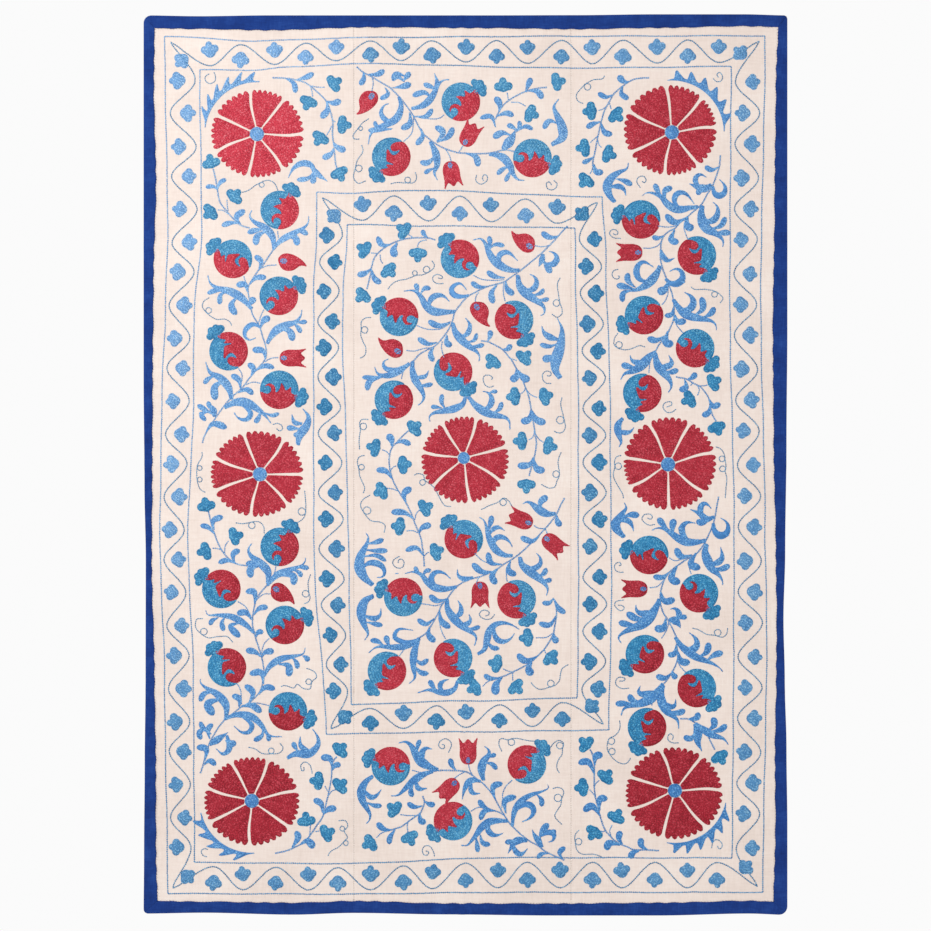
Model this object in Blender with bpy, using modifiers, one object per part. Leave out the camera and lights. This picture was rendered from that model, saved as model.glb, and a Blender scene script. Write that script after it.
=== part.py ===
"""A suzani: an embroidered cotton textile, lying flat and face up.

Three loom-width ground panels are sewn edge to edge. Four binding strips, with
mitred ends, are folded over the raw margin. The cloth was stored folded, and
the pressed folds still stand up as soft ridges. The origin is at the middle of
the underside, +Y runs along the length towards the top of the design, +Z is
up, and every length is in metres.
"""

from math import cos, pi, sin, sqrt
from typing import NamedTuple, Optional

import bmesh
import bpy

# Driving dimensions
WIDTH = 1.500  # over the binding, along X
LENGTH = 2.100  # over the binding, along Y
GROUND_THICK = 0.0013  # hand-woven cotton with its embroidery
BINDING_THICK = 0.0008  # each layer of the folded binding
GAP = 0.0003  # between two pieces that touch
SEAM_X = (-0.260, 0.246)  # the two seams, from the left panel to the right one
RAW_EDGE = 0.006  # how far inside the fold of the binding the ground stops
OVER_BINDING = 0.002  # the ground stays raised this far past the binding's lower layer
BACK_DOWN = 0.016  # and lies on the floor again this far past it
STATION_STEP = 0.110  # the longest stretch between two lines of vertices
CLEAR = 0.055  # the first and last lines that cross the whole cloth are this far in

# The fold of the binding: a half round between its lower and upper layers
RAISED_Z = BINDING_THICK + GAP
LOWER_Z = BINDING_THICK / 2
UPPER_Z = RAISED_Z + GROUND_THICK + GAP + BINDING_THICK / 2
FOLD_RADIUS = (UPPER_Z - LOWER_Z) / 2
FOLD_MIDDLE = FOLD_RADIUS + BINDING_THICK / 2
FOLD_STEPS = 4
LAYER_SHARES = (1.0, 0.55)  # where a layer has its vertices, from its inner edge towards the fold
END_SHARES = (0.0, 0.12, 0.30)  # sections from the mitre towards the first line that crosses the cloth


class EdgeRow(NamedTuple):
    """One place along a side: how far the outline moves in, and how wide the binding shows."""

    along: float
    inset: float
    width: float


class Side(NamedTuple):
    """One side of the cloth: the axis that it faces along (0 or 1), which way, and its edge."""

    name: str
    across: int
    sign: int
    rows: tuple


class Corner(NamedTuple):
    """One corner: which way it lies from the middle, and its radius."""

    sign_x: int
    sign_y: int
    radius: float


class Crease(NamedTuple):
    """A pressed fold that stands up as a soft ridge, with its height at both ends and midway."""

    across: int
    at: float
    half_width: float
    height_low: float
    height_mid: float
    height_high: float


LEFT = Side("left", 0, -1, (
    EdgeRow(-1.05, 0.0000, 0.033),
    EdgeRow(-0.90, 0.0010, 0.028),
    EdgeRow(-0.70, 0.0025, 0.026),
    EdgeRow(-0.50, 0.0045, 0.021),
    EdgeRow(-0.22, 0.0050, 0.014),
    EdgeRow(-0.05, 0.0020, 0.018),
    EdgeRow(0.20, 0.0000, 0.021),
    EdgeRow(0.42, 0.0000, 0.023),
    EdgeRow(0.66, 0.0000, 0.029),
    EdgeRow(0.88, 0.0000, 0.024),
    EdgeRow(1.05, 0.0000, 0.026),
))
RIGHT = Side("right", 0, 1, (
    EdgeRow(-1.05, 0.0000, 0.033),
    EdgeRow(-0.84, 0.0000, 0.028),
    EdgeRow(-0.66, 0.0020, 0.027),
    EdgeRow(-0.50, 0.0060, 0.020),
    EdgeRow(-0.36, 0.0090, 0.016),
    EdgeRow(-0.20, 0.0050, 0.022),
    EdgeRow(0.05, 0.0020, 0.030),
    EdgeRow(0.32, 0.0000, 0.034),
    EdgeRow(0.60, 0.0000, 0.030),
    EdgeRow(0.88, 0.0000, 0.027),
    EdgeRow(1.05, 0.0000, 0.021),
))
TOP = Side("top", 1, 1, (
    EdgeRow(-0.75, 0.0025, 0.030),
    EdgeRow(-0.62, 0.0045, 0.030),
    EdgeRow(-0.46, 0.0025, 0.035),
    EdgeRow(-0.22, 0.0025, 0.028),
    EdgeRow(0.05, 0.0025, 0.030),
    EdgeRow(0.26, 0.0020, 0.033),
    EdgeRow(0.44, 0.0000, 0.032),
    EdgeRow(0.65, 0.0000, 0.028),
    EdgeRow(0.75, 0.0025, 0.028),
))
BOTTOM = Side("bottom", 1, -1, (
    EdgeRow(-0.75, 0.0045, 0.030),
    EdgeRow(-0.61, 0.0065, 0.026),
    EdgeRow(-0.40, 0.0020, 0.028),
    EdgeRow(-0.26, 0.0060, 0.028),
    EdgeRow(-0.04, 0.0025, 0.026),
    EdgeRow(0.20, 0.0000, 0.028),
    EdgeRow(0.45, 0.0000, 0.030),
    EdgeRow(0.66, 0.0045, 0.030),
    EdgeRow(0.75, 0.0015, 0.030),
))
SIDES = (LEFT, RIGHT, BOTTOM, TOP)

CORNERS = (
    Corner(-1, 1, 0.018),
    Corner(1, 1, 0.008),
    Corner(-1, -1, 0.010),
    Corner(1, -1, 0.020),
)

CREASES = (
    Crease(0, -0.008, 0.014, 0.0020, 0.0009, 0.0011),
    Crease(1, 0.510, 0.016, 0.0010, 0.0014, 0.0008),
    Crease(1, 0.000, 0.018, 0.0013, 0.0008, 0.0015),
    Crease(1, -0.525, 0.016, 0.0009, 0.0012, 0.0011),
)

COTTON_GROUND = ("undyed_cotton_ground", (0.86, 0.78, 0.71, 1.0), 0.90)
BINDING_COTTON = ("royal_blue_cotton_binding", (0.015, 0.050, 0.270, 1.0), 0.85)


class Line(NamedTuple):
    """A line of a panel's vertices. A margin line follows a side, and any other stays at one place."""

    at: float
    side: Optional[Side] = None
    step: int = 0


class Section(NamedTuple):
    """A cut across a binding strip, from the outline to its inner edge, and its place along the side."""

    outer: tuple
    inner: tuple
    along: float


def ease(share):
    """Goes from 0 to 1 as share does, level at both ends."""
    return share * share * (3 - 2 * share)


def blend(low, high, share):
    """The value at a share of the way from low to high."""
    return low + (high - low) * share


def half_along(side):
    """Half of a side's own length."""
    return (LENGTH, WIDTH)[side.across] / 2


def half_across(side):
    """How far a side stands from the middle, at its furthest out."""
    return (WIDTH, LENGTH)[side.across] / 2


def edge_at(side, along):
    """The outline's inset and the binding's width at one place along a side."""
    rows = side.rows
    along = min(max(along, rows[0].along), rows[-1].along)
    low, high = next(pair for pair in zip(rows, rows[1:]) if along <= pair[1].along)
    share = ease((along - low.along) / (high.along - low.along))
    return blend(low.inset, high.inset, share), blend(low.width, high.width, share)


def place(side, along, depth):
    """The point at one place along a side and a depth in from its outline, as a list."""
    point = [along, along]
    point[side.across] = side.sign * (half_across(side) - edge_at(side, along)[0] - depth)
    return point


def side_facing(across, sign):
    """The side that faces one way along an axis."""
    return next(s for s in SIDES if (s.across, s.sign) == (across, sign))


def corner_radius(sign_x, sign_y):
    """The radius of the corner that lies that way from the middle."""
    return next(c.radius for c in CORNERS if (c.sign_x, c.sign_y) == (sign_x, sign_y))


def crossing(side, end, inner):
    """Where two sides' outlines meet at one end of a side, or the inner edges of their bindings."""
    other = side_facing(1 - side.across, end)
    point = [0.0, 0.0]
    for each in (side, other):
        point[each.across] = each.sign * half_across(each)
    for _ in range(3):
        for each in (side, other):
            along = point[1 - each.across]
            depth = edge_at(each, along)[1] if inner else 0.0
            point[each.across] = place(each, along, depth)[each.across]
    return point


def lift(x, y):
    """How high the pressed folds raise the cloth above the floor."""
    height = 0.0
    for crease in CREASES:
        across, along = (x, y) if crease.across == 0 else (y, x)
        away = min(abs(across - crease.at) / crease.half_width, 1)
        share = along / ((LENGTH, WIDTH)[crease.across] / 2)
        end = crease.height_high if share > 0 else crease.height_low
        top = blend(crease.height_mid, end, ease(min(abs(share), 1)))
        height = max(height, top * (1 - ease(away)))
    return height


def stations(breaks):
    """The breaks in order, with more between them so that none is much over STATION_STEP apart."""
    found = breaks[:1]
    for low, high in zip(breaks, breaks[1:]):
        steps = max(1, round((high - low) / STATION_STEP))
        found += [blend(low, high, k / steps) for k in range(1, steps + 1)]
    return found


def fold_breaks(across):
    """The foot, top and foot of each pressed fold across one axis, in order."""
    folds = sorted((c for c in CREASES if c.across == across), key=lambda c: c.at)
    return [c.at + c.half_width * k for c in folds for k in (-1, 0, 1)]


COLUMNS = stations([CLEAR - WIDTH / 2, SEAM_X[0], *fold_breaks(0), SEAM_X[1], WIDTH / 2 - CLEAR])
ROWS = stations([CLEAR - LENGTH / 2, *fold_breaks(1), LENGTH / 2 - CLEAR])


def fabric(slot, colour, roughness):
    """A plain cloth material."""
    material = bpy.data.materials.new(slot)
    material.use_nodes = True
    shader = material.node_tree.nodes["Principled BSDF"]
    shader.inputs["Base Color"].default_value = colour
    shader.inputs["Roughness"].default_value = roughness
    shader.inputs["Metallic"].default_value = 0.0
    return material


def sheet(name, columns, rows, where, thickness, offset, material, collection):
    """A grid of columns by rows cells whose vertices lie at where(i, j), thickened by Solidify."""
    bm = bmesh.new()
    bmesh.ops.create_grid(bm, x_segments=columns, y_segments=rows, size=1.0)
    for vert in bm.verts:
        i = round((vert.co.x + 1) * columns / 2)
        j = round((vert.co.y + 1) * rows / 2)
        vert.co = where(i, j)
    mesh = bpy.data.meshes.new(name)
    bm.to_mesh(mesh)
    bm.free()
    mesh.materials.append(material)
    obj = bpy.data.objects.new(name, mesh)
    collection.objects.link(obj)
    solid = obj.modifiers.new("cloth_thickness", "SOLIDIFY")
    solid.thickness = thickness
    solid.offset = offset
    solid.use_even_offset = True
    return obj


def margin_depths(side, along):
    """How deep the ground's margin lines lie: its raw edge, then the top and foot of its step down."""
    width = edge_at(side, along)[1]
    return RAW_EDGE, width + OVER_BINDING, width + BACK_DOWN


def margin_lines(side):
    """The ground's lines along one side, from the raw edge inwards."""
    at = side.sign * (half_across(side) - CLEAR)
    return [Line(at, side, step) for step in range(len(margin_depths(side, 0.0)))]


def ground_panel(name, low_seam, high_seam, material, collection):
    """One loom width of the ground, between two seams or, where a seam is None, out to its raw edge."""
    low = margin_lines(LEFT) if low_seam is None else [Line(low_seam + GAP / 2)]
    high = margin_lines(RIGHT)[::-1] if high_seam is None else [Line(high_seam - GAP / 2)]
    inside = [Line(x) for x in COLUMNS if low[-1].at + GAP < x < high[0].at - GAP]
    if low_seam is None:
        inside.insert(0, Line(COLUMNS[0]))
    if high_seam is None:
        inside.append(Line(COLUMNS[-1]))
    columns = low + inside + high
    rows = margin_lines(BOTTOM) + [Line(y) for y in ROWS] + margin_lines(TOP)[::-1]

    def across(line, along, axis):
        """Where a line lies on an axis, at one place along it."""
        if line.side is None:
            return line.at
        return place(line.side, along, margin_depths(line.side, along)[line.step])[axis]

    def where(i, j):
        column, row = columns[i], rows[j]
        x, y = across(column, row.at, 0), across(row, column.at, 1)
        if column.side and row.side and column.step == row.step == 0:
            drawn_in = corner_radius(column.side.sign, row.side.sign) * (1 - sqrt(0.5))
            x, y = x - column.side.sign * drawn_in, y - row.side.sign * drawn_in
        raised = any(line.side and line.step < 2 for line in (column, row))
        return x, y, RAISED_Z * raised + lift(column.at, row.at)

    return sheet(name, len(columns) - 1, len(rows) - 1, where, GROUND_THICK, 1.0, material, collection)


def fold_profile(width):
    """A strip's mid-line, from its lower inner edge round the fold to its upper one: (depth, height)."""
    layer = [blend(FOLD_MIDDLE, width, share) for share in LAYER_SHARES]
    turns = [pi * k / FOLD_STEPS for k in range(FOLD_STEPS + 1)]
    fold = [(FOLD_MIDDLE - FOLD_RADIUS * sin(a), FOLD_MIDDLE - FOLD_RADIUS * cos(a)) for a in turns]
    return [(d, LOWER_Z) for d in layer] + fold + [(d, UPPER_Z) for d in reversed(layer)]


def end_sections(side, end):
    """A strip's sections at one end, from its mitre round the corner."""
    signs = (side.sign, end) if side.across == 0 else (end, side.sign)
    radius = corner_radius(*signs)
    axis = 1 - side.across
    corner = crossing(side, end, inner=False)[axis]
    mitre = end * (radius * (1 - sqrt(0.5)) + GAP * sqrt(0.5))
    clear = end * (half_along(side) - CLEAR)
    inner_end = crossing(side, end, inner=True)[axis] - end * GAP * sqrt(0.5)
    found = []
    for share in END_SHARES:
        along = blend(corner - mitre, clear, share)
        beyond = max(radius - abs(corner - along), 0)
        rounding = radius - sqrt(radius**2 - beyond**2)
        inner_along = blend(inner_end, clear, share)
        inner = place(side, inner_along, edge_at(side, inner_along)[1])
        found.append(Section(place(side, along, rounding), inner, along))
    return found


def binding_strip(side, material, collection):
    """One binding strip, folded over the raw edge along a side, with a mitre at each end."""
    lines = ROWS if side.across == 0 else COLUMNS
    middle = [Section(place(side, at, 0.0), place(side, at, edge_at(side, at)[1]), at) for at in lines]
    sections = end_sections(side, -1) + middle + end_sections(side, 1)[::-1]
    profiles = [fold_profile(edge_at(side, section.along)[1]) for section in sections]

    def where(i, j):
        section = sections[i]
        depth, height = profiles[i][j]
        share = depth / profiles[i][0][0]
        x, y = (blend(a, b, share) for a, b in zip(section.outer, section.inner))
        away = side.sign * (half_across(side) - CLEAR)
        raised = lift(away, section.along) if side.across == 0 else lift(section.along, away)
        return x, y, height + raised

    cells = len(sections) - 1, len(profiles[0]) - 1
    return sheet(f"binding_{side.name}", *cells, where, BINDING_THICK, 0.0, material, collection)


def main():
    """Builds the three panels and the four strips."""
    for obj in list(bpy.data.objects):
        bpy.data.objects.remove(obj, do_unlink=True)
    collection = bpy.data.collections.new("suzani_textile")
    bpy.context.scene.collection.children.link(collection)
    cotton = fabric(*COTTON_GROUND)
    ground_panel("ground_left", None, SEAM_X[0], cotton, collection)
    ground_panel("ground_centre", SEAM_X[0], SEAM_X[1], cotton, collection)
    ground_panel("ground_right", SEAM_X[1], None, cotton, collection)
    blue = fabric(*BINDING_COTTON)
    for side in SIDES:
        binding_strip(side, blue, collection)


main()
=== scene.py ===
"""Looks of a suzani: cotton panels worked in chain stitch, in a blue cotton binding.

Lengths in the tables are millimetres from the middle of the cloth: x to the right,
y towards the top of the design. Angles are degrees, counter-clockwise from +x.
"""

from __future__ import annotations

import logging
import math
from dataclasses import dataclass, field
from enum import Enum

import bmesh
import bpy
import numpy as np
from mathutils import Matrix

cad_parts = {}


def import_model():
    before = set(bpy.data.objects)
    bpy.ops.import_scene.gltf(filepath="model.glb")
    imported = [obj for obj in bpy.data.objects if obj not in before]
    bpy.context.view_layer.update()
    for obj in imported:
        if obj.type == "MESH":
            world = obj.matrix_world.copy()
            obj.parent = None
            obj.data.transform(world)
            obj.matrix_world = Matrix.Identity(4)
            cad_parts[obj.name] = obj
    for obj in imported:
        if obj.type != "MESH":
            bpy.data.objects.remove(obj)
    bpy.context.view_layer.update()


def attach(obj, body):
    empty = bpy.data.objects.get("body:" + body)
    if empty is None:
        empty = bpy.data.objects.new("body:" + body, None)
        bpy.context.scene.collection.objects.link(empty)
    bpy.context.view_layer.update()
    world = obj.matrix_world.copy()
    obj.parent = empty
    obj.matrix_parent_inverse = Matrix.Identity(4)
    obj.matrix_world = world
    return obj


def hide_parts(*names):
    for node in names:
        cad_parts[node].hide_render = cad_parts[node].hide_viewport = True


LOG = logging.getLogger("suzani")
MM = 0.001
SEED = 7
BAKE_MAP = "OFBake"  # the map of each stitched piece, seen from above

SEAMS = (-260.0, 246.0)
GROUND_THICK = 0.9  # the woven cotton alone, in mm
STITCH_HIGH = 1.0
HALF_ACROSS, HALF_ALONG = 750.0, 1050.0  # from the middle to the furthest edges


class Panel(Enum):
    """The three loom widths of the ground."""

    LEFT = "left"
    CENTRE = "centre"
    RIGHT = "right"


def panel_at(x: float) -> Panel:
    """The panel that holds a place.

    Args:
        x: Place across the cloth, in mm.

    Returns:
        The panel there.
    """
    if x < SEAMS[0]:
        return Panel.LEFT
    return Panel.CENTRE if x < SEAMS[1] else Panel.RIGHT


def linear(code: str) -> np.ndarray:
    """Turns an sRGB hex colour to linear numbers.

    Args:
        code: A colour such as "#d14f5e".

    Returns:
        Linear red, green and blue.
    """
    srgb = np.array([int(code[i:i + 2], 16) / 255 for i in (1, 3, 5)])
    return np.where(srgb <= 0.04045, srgb / 12.92, ((srgb + 0.055) / 1.055) ** 2.4)


def ease(share: np.ndarray | float) -> np.ndarray | float:
    """Goes from 0 to 1 as share does, level at both ends.

    Args:
        share: Numbers from 0 to 1, or beyond, where they are held.

    Returns:
        The eased numbers.
    """
    share = np.clip(share, 0.0, 1.0)
    return share * share * (3 - 2 * share)


def heading(degrees: float) -> np.ndarray:
    """The unit vector that points along an angle in degrees."""
    return np.array([math.cos(math.radians(degrees)), math.sin(math.radians(degrees))])


def turned(points: np.ndarray, degrees: float) -> np.ndarray:
    """Points turned about the origin by an angle in degrees."""
    c, s = heading(degrees)
    return points @ np.array([[c, s], [-s, c]])


def resampled(path: np.ndarray, count: int) -> np.ndarray:
    """A path laid out again with evenly spaced points.

    Args:
        path: Points along it.
        count: How many points to return.

    Returns:
        count points, from the path's first to its last.
    """
    steps = np.linalg.norm(np.diff(path, axis=0), axis=1)
    along = np.concatenate([[0.0], np.cumsum(steps)])
    at = np.linspace(0.0, along[-1], count)
    return np.stack([np.interp(at, along, path[:, k]) for k in range(2)], 1)


def path_length(path: np.ndarray) -> float:
    """The length of a path of points."""
    return float(np.linalg.norm(np.diff(path, axis=0), axis=1).sum())


def curve(points: list | tuple | np.ndarray, closed: bool = False, fine: int = 10) -> np.ndarray:
    """A smooth curve through a few points.

    Args:
        points: The points that it passes through.
        closed: Whether it comes back to its first point.
        fine: Steps from one point to the next.

    Returns:
        Points along the curve.
    """
    p = np.asarray(points, float)
    if len(p) < 3 and not closed:
        return resampled(p, fine + 1)
    p = np.vstack([p[-1:], p, p[:2]]) if closed else np.vstack([2 * p[0] - p[1], p, 2 * p[-1] - p[-2]])
    t = np.linspace(0, 1, fine, endpoint=False)[:, None]
    found = []
    for a, b, c, d in zip(p[:-3], p[1:-2], p[2:-1], p[3:]):
        found.append(0.5 * (2 * b + (c - a) * t + (2 * a - 5 * b + 4 * c - d) * t**2
                            + (3 * b - a - 3 * c + d) * t**3))
    found.append(p[-2:-1])
    return np.vstack(found)


def normals_of(path: np.ndarray, closed: bool = False) -> np.ndarray:
    """Unit vectors to the left of a path at each of its points.

    Args:
        path: Points along it.
        closed: Whether the last point joins the first.

    Returns:
        One vector for each point.
    """
    if closed:
        along = np.roll(path, -1, 0) - np.roll(path, 1, 0)
    else:
        along = np.gradient(path, axis=0)
    size = np.maximum(np.linalg.norm(along, axis=1, keepdims=True), 1e-9)
    return np.stack([-along[:, 1], along[:, 0]], 1) / size


def inside(points: np.ndarray, outline: np.ndarray) -> np.ndarray:
    """Whether points lie inside a closed outline.

    Args:
        points: The points to test.
        outline: The outline's corners, in order.

    Returns:
        One truth value for each point.
    """
    a, b = outline, np.roll(outline, -1, 0)
    x, y = points[:, :1], points[:, 1:]
    spans = (a[:, 1] > y) != (b[:, 1] > y)
    rise = np.where(b[:, 1] == a[:, 1], 1e-9, b[:, 1] - a[:, 1])
    cuts = x < (b[:, 0] - a[:, 0]) * (y - a[:, 1]) / rise + a[:, 0]
    return (spans & cuts).sum(1) % 2 == 1


def area_of(outline: np.ndarray) -> float:
    """The signed area of a closed outline, positive where it runs counter-clockwise."""
    x, y = outline.T
    return float(0.5 * (x * np.roll(y, -1) - y * np.roll(x, -1)).sum())


# --- The cloth's own form ---------------------------------------------------------------


@dataclass(frozen=True)
class Side:
    """One side of the cloth: which way it faces, and rows of (along, inset, binding's width)."""

    name: str
    across: int
    sign: int
    rows: tuple

    def half(self) -> float:
        """How far the side stands from the middle, at its furthest out."""
        return (HALF_ACROSS, HALF_ALONG)[self.across]

    def at(self, along: np.ndarray) -> tuple[np.ndarray, np.ndarray]:
        """The outline's inset and the binding's width at places along the side.

        Args:
            along: Places along the side, in mm.

        Returns:
            The insets and the widths there.
        """
        rows = np.array(self.rows, float)
        along = np.clip(np.asarray(along, float), rows[0, 0], rows[-1, 0])
        k = np.clip(np.searchsorted(rows[:, 0], along) - 1, 0, len(rows) - 2)
        share = ease((along - rows[k, 0]) / (rows[k + 1, 0] - rows[k, 0]))
        inset, width = (rows[k, c] + (rows[k + 1, c] - rows[k, c]) * share for c in (1, 2))
        return inset, width


LEFT = Side("left", 0, -1, (
    (-1050, 0, 33), (-900, 1, 28), (-700, 2.5, 26), (-500, 4.5, 21), (-220, 5, 14), (-50, 2, 18),
    (200, 0, 21), (420, 0, 23), (660, 0, 29), (880, 0, 24), (1050, 0, 26),
))
RIGHT = Side("right", 0, 1, (
    (-1050, 0, 33), (-840, 0, 28), (-660, 2, 27), (-500, 6, 20), (-360, 9, 16), (-200, 5, 22),
    (50, 2, 30), (320, 0, 34), (600, 0, 30), (880, 0, 27), (1050, 0, 21),
))
TOP = Side("top", 1, 1, (
    (-750, 2.5, 30), (-620, 4.5, 30), (-460, 2.5, 35), (-220, 2.5, 28), (50, 2.5, 30), (260, 2, 33),
    (440, 0, 32), (650, 0, 28), (750, 2.5, 28),
))
BOTTOM = Side("bottom", 1, -1, (
    (-750, 4.5, 30), (-610, 6.5, 26), (-400, 2, 28), (-260, 6, 28), (-40, 2.5, 26), (200, 0, 28),
    (450, 0, 30), (660, 4.5, 30), (750, 1.5, 30),
))
SIDES = (LEFT, RIGHT, BOTTOM, TOP)
CORNER_RADII = {(-1, 1): 18.0, (1, 1): 8.0, (-1, -1): 10.0, (1, -1): 20.0}


@dataclass(frozen=True)
class Crease:
    """A pressed fold that still stands up as a soft ridge, with its heights at both ends and midway."""

    across: int
    at: float
    half_width: float
    low: float
    mid: float
    high: float

    def height(self, x: np.ndarray, y: np.ndarray) -> np.ndarray:
        """How high the fold raises the cloth.

        Args:
            x: Places across the cloth, in mm.
            y: Places along it, in mm.

        Returns:
            The heights, in mm.
        """
        over, along = (x, y) if self.across == 0 else (y, x)
        away = np.abs(over - self.at) / self.half_width
        share = along / (HALF_ALONG, HALF_ACROSS)[self.across]
        end = np.where(share > 0, self.high, self.low)
        top = self.mid + (end - self.mid) * ease(np.abs(share))
        return top * (1 - ease(away))


CREASES = (
    Crease(0, -8, 14, 2.0, 0.9, 1.1),
    Crease(1, 510, 16, 1.0, 1.4, 0.8),
    Crease(1, 0, 18, 1.3, 0.8, 1.5),
    Crease(1, -525, 16, 0.9, 1.2, 1.1),
)


@dataclass(frozen=True)
class ClothForm:
    """The form in which the whole cloth lies, as heights of its underside above the floor."""

    raised: float = 1.1  # over the lower layer of the binding
    past_binding: float = 2.0
    down_again: float = 16.0
    uneven: float = 0.28

    def outer_depth(self, side: Side, x: np.ndarray, y: np.ndarray) -> tuple[np.ndarray, np.ndarray]:
        """How far in from a side's outline places lie, and the binding's width beside them.

        Args:
            side: The side to measure from.
            x: Places across the cloth, in mm.
            y: Places along it, in mm.

        Returns:
            The depths and the widths, in mm.
        """
        over, along = (x, y) if side.across == 0 else (y, x)
        inset, width = side.at(along)
        return side.half() - inset - side.sign * over, width

    def height(self, x: np.ndarray, y: np.ndarray) -> np.ndarray:
        """The height of the ground's underside.

        Args:
            x: Places across the cloth, in mm.
            y: Places along it, in mm.

        Returns:
            The heights, in mm.
        """
        x, y = np.asarray(x, float), np.asarray(y, float)
        margin = np.zeros(np.broadcast(x, y).shape)
        for side in SIDES:
            depth, width = self.outer_depth(side, x, y)
            share = (depth - width - self.past_binding) / (self.down_again - self.past_binding)
            margin = np.maximum(margin, self.raised * (1 - ease(share)))
        folds = np.max([crease.height(x, y) for crease in CREASES], axis=0)
        waves = (np.sin(x / 47 + 1.3 * np.sin(y / 91)) * np.sin(y / 61 + 0.9 * np.sin(x / 83 + 1))
                 + 0.6 * np.sin(x / 23 + y / 37 + 2) * np.sin(y / 29 - x / 71))
        return margin + folds + self.uneven * (1 + waves / 1.6)

    def top(self, x: np.ndarray, y: np.ndarray) -> np.ndarray:
        """The height of the ground's upper face, in mm."""
        return self.height(x, y) + GROUND_THICK


# --- Finishes ------------------------------------------------------------------------------


def add_node(tree: bpy.types.NodeTree, kind: str, settings: dict | None = None,
             inputs: dict | None = None) -> bpy.types.Node:
    """Adds a node to a material.

    Args:
        tree: The material's node tree.
        kind: The node's type.
        settings: Its properties.
        inputs: Its sockets, each with a value or with the output that feeds it.

    Returns:
        The node.
    """
    made = tree.nodes.new(kind)
    for name, value in (settings or {}).items():
        setattr(made, name, value)
    for key, value in (inputs or {}).items():
        if isinstance(value, bpy.types.NodeSocket):
            tree.links.new(value, made.inputs[key])
        else:
            made.inputs[key].default_value = value
    return made


def colour_ramp(tree: bpy.types.NodeTree, factor: bpy.types.NodeSocket,
                stops: tuple) -> bpy.types.NodeSocket:
    """Adds a ramp of colours.

    Args:
        tree: The material's node tree.
        factor: What drives the ramp.
        stops: Pairs of a place and an sRGB hex colour.

    Returns:
        The ramp's colour output.
    """
    ramp = add_node(tree, "ShaderNodeValToRGB", inputs={"Fac": factor})
    band = ramp.color_ramp
    while len(band.elements) < len(stops):
        band.elements.new(0.5)
    for element, (place, code) in zip(band.elements, stops):
        element.position = place
        element.color = (*linear(code), 1.0)
    return ramp.outputs["Color"]


def blank_material(name: str, settings: dict) -> tuple[bpy.types.Material, bpy.types.Node]:
    """Starts a material.

    Args:
        name: Its name.
        settings: Constants for its shader's sockets.

    Returns:
        The material and its shader.
    """
    material = bpy.data.materials.new(name)
    material.use_nodes = True
    shader = material.node_tree.nodes["Principled BSDF"]
    for key, value in settings.items():
        shader.inputs[key].default_value = value
    return material, shader


@dataclass(frozen=True)
class SilkThread:
    """Floss silk, dyed in the hank and worked in chain stitch.

    Each stitch takes the dye a little differently, and whole motifs have faded more than others.
    """

    name: str
    slot: str
    rich: tuple
    faded: tuple
    roughness: float = 0.62
    sheen: float = 0.06

    def material(self) -> bpy.types.Material:
        """Builds it: two ramps of dye over the shade that each point carries, mixed by how much it has
        faded. That shade holds each stitch's own tone and also painted shade: lighter stitch crowns, darker
        stitch ends, a darker row round each shape and the dark sheet beneath.
        """
        material, shader = blank_material(self.name, {
            "Roughness": self.roughness, "Sheen Weight": self.sheen, "Sheen Roughness": 0.5,
            "Specular IOR Level": 0.22,
        })
        tree = material.node_tree
        shade = add_node(tree, "ShaderNodeAttribute", {"attribute_name": "shade"})
        fade = add_node(tree, "ShaderNodeAttribute", {"attribute_name": "fade"})
        places = (0.05, 0.5, 0.95)
        rich = colour_ramp(tree, shade.outputs["Fac"], tuple(zip(places, self.rich)))
        faded = colour_ramp(tree, shade.outputs["Fac"], tuple(zip(places, self.faded)))
        mixed = add_node(tree, "ShaderNodeMix", {"data_type": "RGBA"},
                         {"Factor": fade.outputs["Fac"], "A": rich, "B": faded})
        tree.links.new(mixed.outputs[2], shader.inputs["Base Color"])
        return material


@dataclass(frozen=True)
class HandWovenCotton:
    """Plain-weave cotton from a narrow hand loom.

    Slubs in both directions and handling marks keep its colour from being even.
    """

    name: str
    dark: str
    mean: str
    light: str
    slub_mm: float = 4.0  # thick places in the yarn, drawn coarser than threads of 0.4 mm
    patch_mm: float = 150.0
    bump_mm: float = 0.10
    roughness: float = 0.9

    def material(self) -> bpy.types.Material:
        """Builds it: slubs along and across, over broad soft patches of tone."""
        material, shader = blank_material(self.name, {
            "Roughness": self.roughness, "Specular IOR Level": 0.15, "Sheen Weight": 0.06,
        })
        tree = material.node_tree
        where = add_node(tree, "ShaderNodeTexCoord").outputs["Object"]
        fields = []
        for stretch in ((1, 7, 1), (7, 1, 1)):
            scale = tuple(1 / (self.slub_mm * MM * s) for s in stretch)
            mapping = add_node(tree, "ShaderNodeMapping", inputs={"Vector": where, "Scale": scale})
            noise = add_node(tree, "ShaderNodeTexNoise",
                             inputs={"Vector": mapping.outputs["Vector"], "Scale": 1.0, "Detail": 2.0})
            fields.append(noise.outputs["Fac"])
        slubs = add_node(tree, "ShaderNodeMath", {"operation": "ADD"}, {0: fields[0], 1: fields[1]})
        patches = add_node(tree, "ShaderNodeTexNoise",
                           inputs={"Vector": where, "Scale": 1 / (self.patch_mm * MM), "Detail": 4.0})
        both = add_node(tree, "ShaderNodeMath", {"operation": "MULTIPLY_ADD"},
                        {0: slubs.outputs[0], 1: 0.30, 2: -0.05})
        tone = add_node(tree, "ShaderNodeMath", {"operation": "MULTIPLY_ADD"},
                        {0: patches.outputs["Fac"], 1: 0.5, 2: both.outputs[0]})
        colour = colour_ramp(tree, tone.outputs[0],
                             ((0.25, self.dark), (0.5, self.mean), (0.75, self.light)))
        bump = add_node(tree, "ShaderNodeBump", inputs={
            "Height": slubs.outputs[0], "Distance": self.bump_mm * MM, "Strength": 0.8})
        tree.links.new(colour, shader.inputs["Base Color"])
        tree.links.new(bump.outputs["Normal"], shader.inputs["Normal"])
        return material


# --- Needlework -----------------------------------------------------------------------------


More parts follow.
